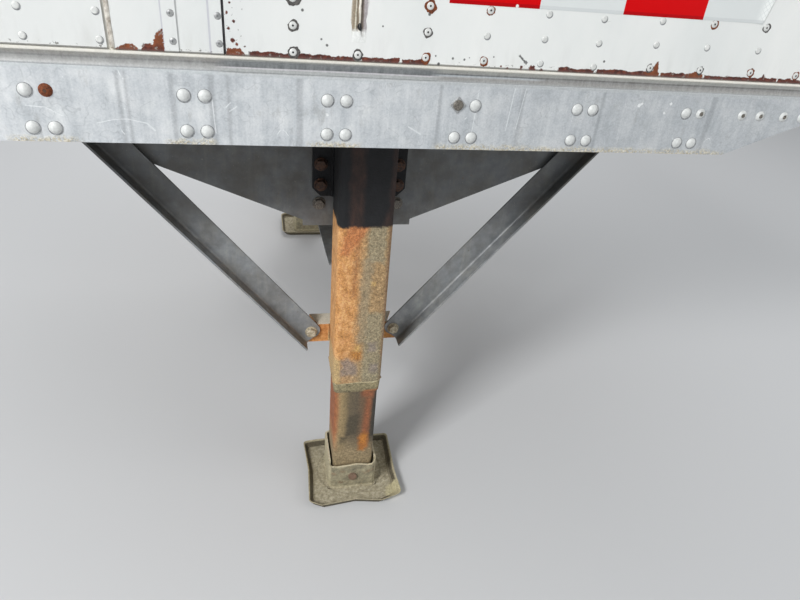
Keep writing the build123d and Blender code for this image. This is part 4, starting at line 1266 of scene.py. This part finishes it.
def sheet_rivets():
    """The side sheets' rivets: small painted domes, greyed with painted shade, with a painted shadow
    below them, pulled ones on the post, open ones ringed by chipped paint or rust on the near side,
    and their tails inside."""
    post = [(x, z + POST_RISE) for x in POST_COLUMNS for z in SHEET_ROWS]
    for side, sign in SIDES.items():
        out, back = turned_to((0, sign, 0)), turned_to((0, -sign, 0))
        places = [
            (x, row, z + COLUMN_RISES.get(x, 0.0))
            for x in SHEET_COLUMNS for row, z in enumerate(SHEET_ROWS)
        ]
        worn = []
        if side == "right":
            places = [place for place in places if place[:2] != GONE_RIVET]
            worn = [place for place in places if place[:2] in WORN_RIVETS]
        heads = [
            at(x, sign * SHEET_Y, z) @ out for x, row, z in places
            if (x, row, z) not in worn and (side == "left" or (x, row) != HEADLESS_RIVET)
        ]
        # A painted shadow below each head
        fitted(
            prism(12, 6.3 * MM, 0.35 * MM, 0.2 * MM), f"{side}_sheet_rivet_painted_shadows",
            [at(0.6 * MM, 0, -0.9 * MM) @ head for head in heads], "painted_shadow_disc")
        fitted(
            pressed(dome(11.2 * MM, 4.2 * MM, 12), 1.9 * MM), f"{side}_sheet_rivets", heads,
            "painted_rivet")
        fitted(
            pressed(pulled_head(11.5 * MM, 2.6 * MM), 1.9 * MM), f"{side}_post_rivets",
            [at(x, sign * POST_Y, z) @ out for x, z in post], "dull_rivet")
        tails = post + [(x, z) for x, _, z in places]
        fitted(
            prism(10, 4.6 * MM, 3.2 * MM, 0.8 * MM), f"{side}_sheet_rivet_tails",
            [at(x, sign * RAIL_IN_Y, z) @ back for x, z in tails], "rivet")
        if worn:
            worn_rivets(worn)


def worn_rivets(worn):
    """The near side's open rivets: their heads, black discs in their holes as painted shade, and the
    rings round them.
    """
    out = turned_to((0, -1, 0))
    heads = [at(x, -SHEET_Y, z) @ out for x, _, z in worn]
    fitted(
        pressed(pulled_head(13 * MM, 3.4 * MM), 1.8 * MM), "right_open_rivets", heads,
        "painted_rivet")
    # Black discs in the heads' holes: painted shade
    fitted(
        prism(10, 2.5 * MM, 0.6 * MM, 0.1 * MM), "right_open_rivet_holes",
        [head @ at(0, 0, 1 * MM) for head in heads], "rubber_and_painted_hole_shade")
    for look, finish in (("dirty", "black_dirt"), ("rusty", "brown_rust")):
        rings = []
        for x, row, z in worn:
            wear, radius = WORN_RIVETS[(x, row)]
            if wear == look:
                place = at(x + 0.8 * MM, -SHEET_Y, z - 0.8 * MM) @ out
                rings.append(copies(chipped_ring(radius * MM), "ring", [place]))
        settle(joined(rings, f"right_{look}_rivet_rings"), finish)


def sheet_tear():
    """The split in the near front sheet: a puckered strip with a sharp ridge up its middle, painted
    bright as a highlight, painted shade in the folds beside it, and the hole that it started from,
    a black disc as painted shade."""
    strip = primitive("grid", x_subdivisions=18, y_subdivisions=24, size=1)
    for vertex in strip.data.vertices:
        across, along = 2 * vertex.co.x, vertex.co.y + 0.5
        wander = 1.2 * MM * math.sin(9 * along) + 0.6 * MM * math.sin(23 * along)
        width = TEAR_HALF * (0.78 + 0.22 * along)
        x = TEAR_X + across * width + wander
        z = TEAR_Z - TEAR_DOWN + along * (TEAR_DOWN + TEAR_UP)
        strength = min(1.0, 3.2 * along) * (1 - abs(across) ** 3)
        ridge = 1.1 * MM * math.exp(-((across / 0.13) ** 2))
        ridge -= 0.5 * MM * math.exp(-(((abs(across) - 0.34) / 0.16) ** 2))
        out = 0.15 * MM + strength * (ridge + 0.5 * MM) - 0.4 * MM * abs(across) ** 4
        vertex.co = (x, -(SHEET_Y + out), z)
    thicken(strip, 0.5 * MM)
    strip.name = "right_front_sheet_tear"
    settle(strip, "torn_sheet", smooth=60)
    # The hole: a black disc, painted shade
    hole = primitive("circle", vertices=12, radius=1, fill_type="NGON")
    for vertex in hole.data.vertices:
        vertex.co.xy *= SCATTER.uniform(0.8, 1.1)
    hole.data.transform(Matrix.Diagonal((3.6 * MM, 6.6 * MM, 1, 1)))
    shape(hole, (everywhere, bpy.ops.mesh.extrude_region_move, lifted(1.5 * MM)))
    out = turned_to((0, -1, 0), math.radians(8))
    place = at(TEAR_X + 0.6 * MM, -SHEET_Y - 0.45 * MM, TEAR_Z) @ out
    fitted(hole, "right_front_sheet_tear_hole", [place], "rubber_and_painted_hole_shade")


def torn_sheet():
    """Torn enamelled sheet: streaks that run down from the split, tan at one side and grey at the
    other, with painted shade in the folds and a painted highlight along the ridge."""
    made, place = finish_of("torn_enamelled_sheet", roughness=0.6)
    across = beyond(
        stretched(place, (1, 1, 0.3)), AHEAD, TEAR_X - TEAR_HALF, TEAR_X + TEAR_HALF, 0.003, 8, seed=420)
    # Across the split: rust streaks, painted shade in the folds and a painted highlight on the ridge
    streaks = ramp(across, (
        (0.02, "#dcdcd6"), (0.1, "#9a8f7d"), (0.24, "#8a7d69"), (0.31, "#d8d2c0"), (0.38, "#5a4e3e"),
        (0.45, "#8b7f6c"), (0.5, "#f0ede2"), (0.56, "#cbc3b4"), (0.61, "#3c342b"), (0.72, "#6a6058"),
        (0.8, "#a39c9c"), (0.92, "#a8a2a4"), (0.99, "#dcdcd8"),
    ))
    white = tone(place, 30, ("#dcdedb", "#e8e9e6"), seed=421)
    drips = patches(stretched(place, (1, 1, 0.2)), 6, 0.54, 0.06, seed=422)
    below = beyond(place, UP, TEAR_Z - 0.002, TEAR_Z - 0.009, 0.002, 6, seed=423)
    faded = outside(share(drips, 0.8))
    end = beyond(place, UP, TEAR_Z - 0.014, TEAR_Z - 0.02, 0.004, 6, seed=424)
    colour = coats(streaks, (
        (both(below, faded), white),
        (end, white),
    ))
    colour = grained(colour, place, (2.5,), 0.2, seed=425)
    return painted(made, colour)


def tape_block(name, x_start, x_end, sign, finish, slant, peel):
    """One block of tape on a side sheet, its end cut aslant by slant and lifted off the sheet by peel."""
    loose = 0.3 * (x_end - x_start)
    block = primitive("grid", x_subdivisions=24, y_subdivisions=6, size=1)
    for vertex in block.data.vertices:
        along, up = vertex.co.x + 0.5, vertex.co.y + 0.5
        x = x_start + along * (x_end + slant * up - x_start)
        lift = peel * max(0.0, (x - (x_end - loose)) / loose) ** 3
        vertex.co = (x, sign * (SHEET_Y + 0.25 * MM + lift), TAPE_LOW + TAPE_RISE * x + up * TAPE_WIDE)
    thicken(block, 0.4 * MM)
    block.name = name
    return settle(block, finish, smooth=60)


def tape():
    """Red and white reflective tape along the front sheet, torn and lifting at its front end."""
    for side, sign in SIDES.items():
        for number, (start, end) in enumerate(zip(TAPE_XS, TAPE_XS[1:]), 1):
            colour = "red" if number % 2 else "white"
            name = f"{side}_tape_{number}_{colour}"
            slant, peel = (TAPE_SLANT, TAPE_PEEL) if end == TAPE_XS[-1] else (0, 0)
            tape_block(name, start, end, sign, f"{colour}_tape", slant, peel)


def bead_strip(name, low, high, puff, size):
    """A long uneven bead, such as sealant: a box with many cuts, pushed in and out by up to half of
    puff by a cloud texture of a size."""
    low, high = Vector(low), Vector(high)
    span = high - low
    block = primitive("cube", size=1)
    for vertex in block.data.vertices:
        vertex.co = [low[i] + (vertex.co[i] + 0.5) * span[i] for i in range(3)]
    long_axis = max(range(3), key=lambda axis: span[axis])
    cuts = int(span[long_axis] / (3.5 * MM))
    choose(block)
    bpy.ops.object.mode_set(mode="EDIT")
    bpy.ops.mesh.select_mode(type="EDGE")
    mesh = bmesh.from_edit_mesh(block.data)
    for edge in mesh.edges:
        run = edge.verts[1].co - edge.verts[0].co
        edge.select_set(abs(run[long_axis]) > 0.9 * span[long_axis])
    bmesh.update_edit_mesh(block.data)
    bpy.ops.mesh.subdivide(number_cuts=cuts)
    bpy.ops.object.mode_set(mode="OBJECT")
    modified(block, "SUBSURF", levels=1, render_levels=1)
    texture = bpy.data.textures.new(f"{name}_clouds", "CLOUDS")
    texture.noise_scale = size
    modified(block, "DISPLACE", texture=texture, strength=puff, mid_level=0.5)
    block.name = name
    return block


def seams():
    """The caulked joint of the rear sheet and the dark sealant in the seam of the front one."""
    for side, sign in SIDES.items():
        for name, xs, depths, puff, size, finish in (
            ("caulked_joint", CAULK_XS, (-0.8, 1.6), 1.6, 0.009, "old_sealant"),
            ("black_seam", BLACK_SEAM_XS, (-1.5, 0.4), 0.7, 0.012, "black_sealant"),
        ):
            ys = sorted(sign * (SHEET_Y + depth * MM) for depth in depths)
            low = (xs[0], ys[0], BEAD_TOP + 1 * MM)
            high = (xs[1], ys[1], SHEET[1].z - 1 * MM)
            strip = bead_strip(f"{side}_{name}", low, high, puff * MM, size)
            settle(strip, finish, smooth=80)


def bolted(name, size, places, direction, finish="dark_bolt", tail=None):
    """Bolt heads at some places, and, where tail is given, the nuts at the other end of each."""
    spins = [math.radians(SCATTER.uniform(0, 60)) for _ in places]
    heads = [at(*place) @ turned_to(direction, spin) for place, spin in zip(places, spins)]
    fitted(bolt_head(size), f"{name}_heads", heads, finish, smooth=30)
    if tail is None:
        return
    back = -Vector(direction)
    nuts = [at(*back * tail) @ at(*place) @ turned_to(back, spin) for place, spin in zip(places, spins)]
    fitted(nut(size), f"{name}_nuts", nuts, finish, smooth=30)


def bolts():
    """The bolts of both legs' plates and braces, and those up through the wing plates' flanges."""
    for side, sign in SIDES.items():
        out = (0, sign, 0)
        plate_y = sign * LEG[0].y
        places = [(x, plate_y, z) for x in (-PLATE_BOLT_X, PLATE_BOLT_X) for z in PLATE_BOLT_ZS]
        bolted(f"{side}_leg_plate_bolts", 16 * MM, places, out, tail=LEG[0].y - WING_IN_Y)
        places = [(x, sign * WING_OUT_Y, WING_BOLT_Z) for x in (-WING_BOLT_X, WING_BOLT_X)]
        bolted(f"{side}_wing_plate_bolts", 16 * MM, places, out, "greasy_bolt", WING_OUT_Y - WING_IN_Y)
        brace_y = sign * (LEG[0].y + 5 * MM)
        places = [(x, brace_y, BRACE_FOOT_Z) for x in (-BRACE_FOOT_X, BRACE_FOOT_X)]
        bolted(f"{side}_brace_foot_bolts", 16 * MM, places, out, "dusty_bolt", tail=11 * MM)
        places = []
        for z in BRACE_HEAD_ZS:
            x = BRACE_FOOT_X + (z - BRACE_FOOT_Z) / math.tan(BRACE_SLOPE)
            places += [(-x, brace_y, z), (x, brace_y, z)]
        bolted(f"{side}_brace_head_bolts", 14 * MM, places, out, tail=LEG[0].y + 5 * MM - WING_IN_Y)
        flange_z = WING[1].z - 6 * MM
        places = [
            (x + apart, sign * (WING[0].y + 24 * MM), flange_z)
            for x in BEAM_XS if abs(x) < WING[1].x - 0.03 for apart in (-0.017, 0.017)
        ]
        bolted(f"{side}_wing_flange_bolts", 12 * MM, places, (0, 0, -1), "zinc_bolt", tail=11 * MM)


def tie_bolts():
    """The bolts that hold the ties' ends to the lugs. Each tie falls to one side, the front one to the
    right and the rear one to the left."""
    for name, ahead in (("front_cross_tie", 1), ("rear_cross_tie", -1)):
        low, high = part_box(name)
        heights = {-ahead: low.z + 30 * MM, ahead: high.z - 30 * MM}
        places = [(ahead * 19 * MM, sign * (high.y - 24 * MM), heights[sign]) for sign in (-1, 1)]
        bolted(f"{name}_bolts", 14 * MM, places, (ahead, 0, 0), tail=13 * MM)


def welds():
    """The weld beads of both legs."""
    for side, sign in SIDES.items():
        runs = []
        half = LEG_HALF
        near, far = sign * (LEG_Y + half), sign * (LEG_Y - half)
        z = SKIRT_WELD_Z
        loop = [
            (-half + 9 * MM, near, z - 2 * MM), (0, near, z + 1.5 * MM), (half - 9 * MM, near, z + 3 * MM),
            (half, near - sign * 9 * MM, z + 5 * MM), (half, far + sign * 9 * MM, z),
            (half - 9 * MM, far, z), (-half + 9 * MM, far, z), (-half, far + sign * 9 * MM, z),
            (-half, near - sign * 9 * MM, z - 2 * MM), (-half + 9 * MM, near, z - 2 * MM),
        ]
        runs.append(weld_run(f"{side}_skirt_weld", loop, 3.4 * MM))
        face = sign * (LEG[0].y + 1.5 * MM)
        for x in (-half - 1 * MM, half + 1 * MM):
            for name, low, high, width in (
                ("plate_weld", LEG_PLATE[0].z, PLATE_WELD_TOP, 7 * MM),
                ("tab_weld", TAB[0].z + 3 * MM, TAB[1].z, 6 * MM),
            ):
                runs.append(weld_run(name, [(x, face, low), (x, face, high)], width))
        settle(joined(runs, f"{side}_leg_welds"), "leg", smooth=60)
        half = (FOOT[1].x - FOOT[0].x) / 2
        z = SHOE_PLATE_TOP + 1 * MM
        near, far = sign * (LEG_Y + half), sign * (LEG_Y - half)
        loop = [(-half, near, z), (half, near, z), (half, far, z), (-half, far, z), (-half, near, z)]
        settle(weld_run(f"{side}_foot_weld", loop, 7 * MM), "foot", smooth=60)


def floor_screws():
    """The floor's screws: two in each board at each cross member, with sunk recesses."""
    disc = primitive("cylinder", vertices=12, radius=6.5 * MM, depth=0.8 * MM, location=(0, 0, 0.1 * MM))
    screw = shape(
        disc,
        (top, bpy.ops.mesh.inset, {"thickness": 1.2 * MM}),
        (None, bpy.ops.mesh.inset, {"thickness": 2.2 * MM}),
        (None, bpy.ops.mesh.extrude_region_move, lifted(-0.45 * MM)),
    )
    board = (FLOOR[1].y - FLOOR[0].y) / BOARDS
    places = [
        (x, FLOOR[0].y + (number + part) * board, FLOOR[1].z)
        for x in BEAM_XS for number in range(BOARDS) for part in (0.25, 0.75)
    ]
    fitted(screw, "floor_screws", [at(*place) for place in places], "zinc_bolt")


def gearbox_details():
    """The gearbox's flange and cover bolts and its shaft seal."""
    low, high = GEARBOX
    middle_z = (low.z + high.z) / 2
    half_x, half_z = (high.x - low.x) / 2, (high.z - low.z) / 2
    round_flange = ((-1, -1), (-1, 0), (-1, 1), (1, -1), (1, 0), (1, 1))
    flange = [
        (x * (half_x - (12 if z else 9) * MM), low.y + GEARBOX_FLANGE, middle_z + z * (half_z - 12 * MM))
        for x, z in round_flange
    ]
    bolted("gearbox_flange_bolts", 9 * MM, flange, (0, 1, 0))
    cover = [
        (x * (half_x - 24 * MM), low.y + GEARBOX_COVER, middle_z + z * (half_z - 26 * MM))
        for x, z in round_flange + ((0, -1), (0, 1))
    ]
    bolted("gearbox_cover_bolts", 8 * MM, cover, (0, 1, 0))
    seal = primitive(
        "torus", major_radius=15 * MM, minor_radius=2.2 * MM, major_segments=32, minor_segments=8,
        location=(0, high.y, middle_z), rotation=(math.radians(90), 0, 0))
    seal.name = "gearbox_shaft_seal"
    settle(seal, "rubber_and_painted_hole_shade")


def crank_details():
    """The two heads of the crank's pin, and the weld where its bar meets the yoke."""
    low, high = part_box("crank")
    head = prism(18, 8 * MM, 3.2 * MM, 0.8 * MM)
    above = at(CRANK_PIN.x, CRANK_PIN.y, high.z - 0.2 * MM)
    below = at(CRANK_PIN.x, CRANK_PIN.y, low.z + 0.2 * MM) @ turned_to((0, 0, -1))
    fitted(head, "crank_pin_heads", [above, below], "dark_bolt", "crank")
    ring = primitive(
        "torus", major_radius=10.5 * MM, minor_radius=2 * MM, major_segments=28, minor_segments=8,
        location=(CRANK_PIN.x - 44.5 * MM, CRANK_PIN.y, CRANK_PIN.z), rotation=(0, math.radians(90), 0))
    ring.name = "crank_bar_weld"
    settle(ring, "steel", "crank")


def studio():
    """A pale floor and plain soft light."""
    ground = primitive("plane", size=160)
    ground.name = "studio_floor"
    made, _ = finish_of("pale_floor_paint", roughness=0.95)
    ground.data.materials.append(painted(made, "#d4d5d6"))
    world = bpy.data.worlds.new("studio")
    world.use_nodes = True
    feed(world.node_tree.nodes["Background"], {"Color": "#eef1f4", "Strength": 0.48})
    bpy.context.scene.world = world
    for name, place, target, size, power in (
        ("key", (-3.6, -4.2, 3.9), (0, -0.6, 0.8), 1.5, 270),
        ("fill", (4.8, -3.4, 2.4), (0, -0.2, 0.7), 3.2, 55),
        ("back", (0.5, 5.2, 3.8), (0, 0, 0.8), 3.2, 130),
    ):
        data = bpy.data.lights.new(name, "AREA")
        data.size = size
        data.energy = power
        made = bpy.data.objects.new(name, data)
        made.location = place
        made.rotation_euler = (Vector(target) - Vector(place)).to_track_quat("-Z", "Y").to_euler()
        bpy.context.scene.collection.objects.link(made)
    bpy.context.scene.view_settings.view_transform = "Standard"


def camera():
    """The photograph's camera."""
    yaw, pitch, roll = (math.radians(angle) for angle in (YAW, PITCH, ROLL))
    ahead = Vector((math.sin(yaw) * math.cos(pitch), math.cos(yaw) * math.cos(pitch), -math.sin(pitch)))
    level = Vector((math.cos(yaw), -math.sin(yaw), 0))
    above = level.cross(ahead)
    across = math.cos(roll) * level + math.sin(roll) * above
    up = math.cos(roll) * above - math.sin(roll) * level
    data = bpy.data.cameras.new("camera")
    data.lens = LENS
    data.sensor_width = 36
    data.clip_end = 200
    made = bpy.data.objects.new("camera", data)
    made.matrix_world = Matrix.Translation(EYE) @ Matrix((across, up, -ahead)).transposed().to_4x4()
    bpy.context.scene.collection.objects.link(made)
    bpy.context.scene.camera = made


camera()
slots = finish_nodes()
# The finishes that settle takes by name
FINISHES = {
    "leg": slots["leg_rusty_paint"],
    "foot": slots["foot_steel"],
    "steel": slots["shaft_steel"],
    "rivet": speckled("aluminium_rivet", ("#c3c5c3", "#dbdddb"), 6, 0.1, 0.6, 0.1, 310),
    # Greyer than the sheet's white, as painted shade for the heads pressed flat
    "painted_rivet": speckled("enamelled_rivet", ("#c4c6c3", "#dddedb"), 7, 0.0, 0.32, 0.08, 320),
    "dull_rivet": speckled("dull_pulled_rivet", ("#86888a", "#b9bab8"), 3, 0.4, 0.5, 0.12, 330),
    "brown_rust": speckled("brown_rust_scale", ("#4a2416", "#8a4a26"), 3, 0.0, 0.9, 0.35, 340),
    "black_dirt": speckled("greasy_road_dirt", ("#2b2a2a", "#6a6764"), 3, 0.0, 0.85, 0.15, 350),
    "zinc_bolt": speckled("zinc_plated_bolt", ("#77756c", "#a5a294"), 4, 0.5, 0.45, 0.12, 360),
    "dusty_bolt": speckled("dust_caked_bolt", ("#8d8069", "#d2c9b2"), 5, 0.0, 0.9, 0.3, 365),
    "torn_sheet": torn_sheet(),
    "dark_bolt": speckled("rusted_black_bolt", ("#2a2422", "#5c3d2a"), 5, 0.1, 0.7, 0.25, 370),
    "old_sealant": speckled("weathered_sealant", ("#857a6b", "#dedad1"), 9, 0.0, 0.75, 0.4, 380),
    # Painted shadow: the discs below the rivets' heads
    "painted_shadow_disc": speckled("painted_shadow_under_rivets", ("#6f7173", "#a2a5a6"), 4, 0.0, 0.85, 0.1, 430),
    "greasy_bolt": speckled("greasy_bolt", ("#45413d", "#8a847a"), 3, 0.3, 0.55, 0.25, 450),
    "black_sealant": speckled("black_sealant", ("#222124", "#3b3a3d"), 6, 0.0, 0.7, 0.15, 390),
    # Real rubber for the seal; black discs in holes as painted shade
    "rubber_and_painted_hole_shade": speckled("nitrile_rubber", ("#18181a", "#242426"), 5, 0.0, 0.6, 0.05, 395),
    "red_tape": prismatic_tape("red_prismatic_tape", "#cc0006", "#f0000c", "#a3000a", 400),
    "white_tape": prismatic_tape("white_prismatic_tape", "#d6dad9", "#ecefed", "#c9cdcd", 410),
}
rail_rivets()
odd_rail_fasteners()
sheet_rivets()
sheet_tear()
tape()
seams()
bolts()
tie_bolts()
welds()
floor_screws()
gearbox_details()
crank_details()
studio()
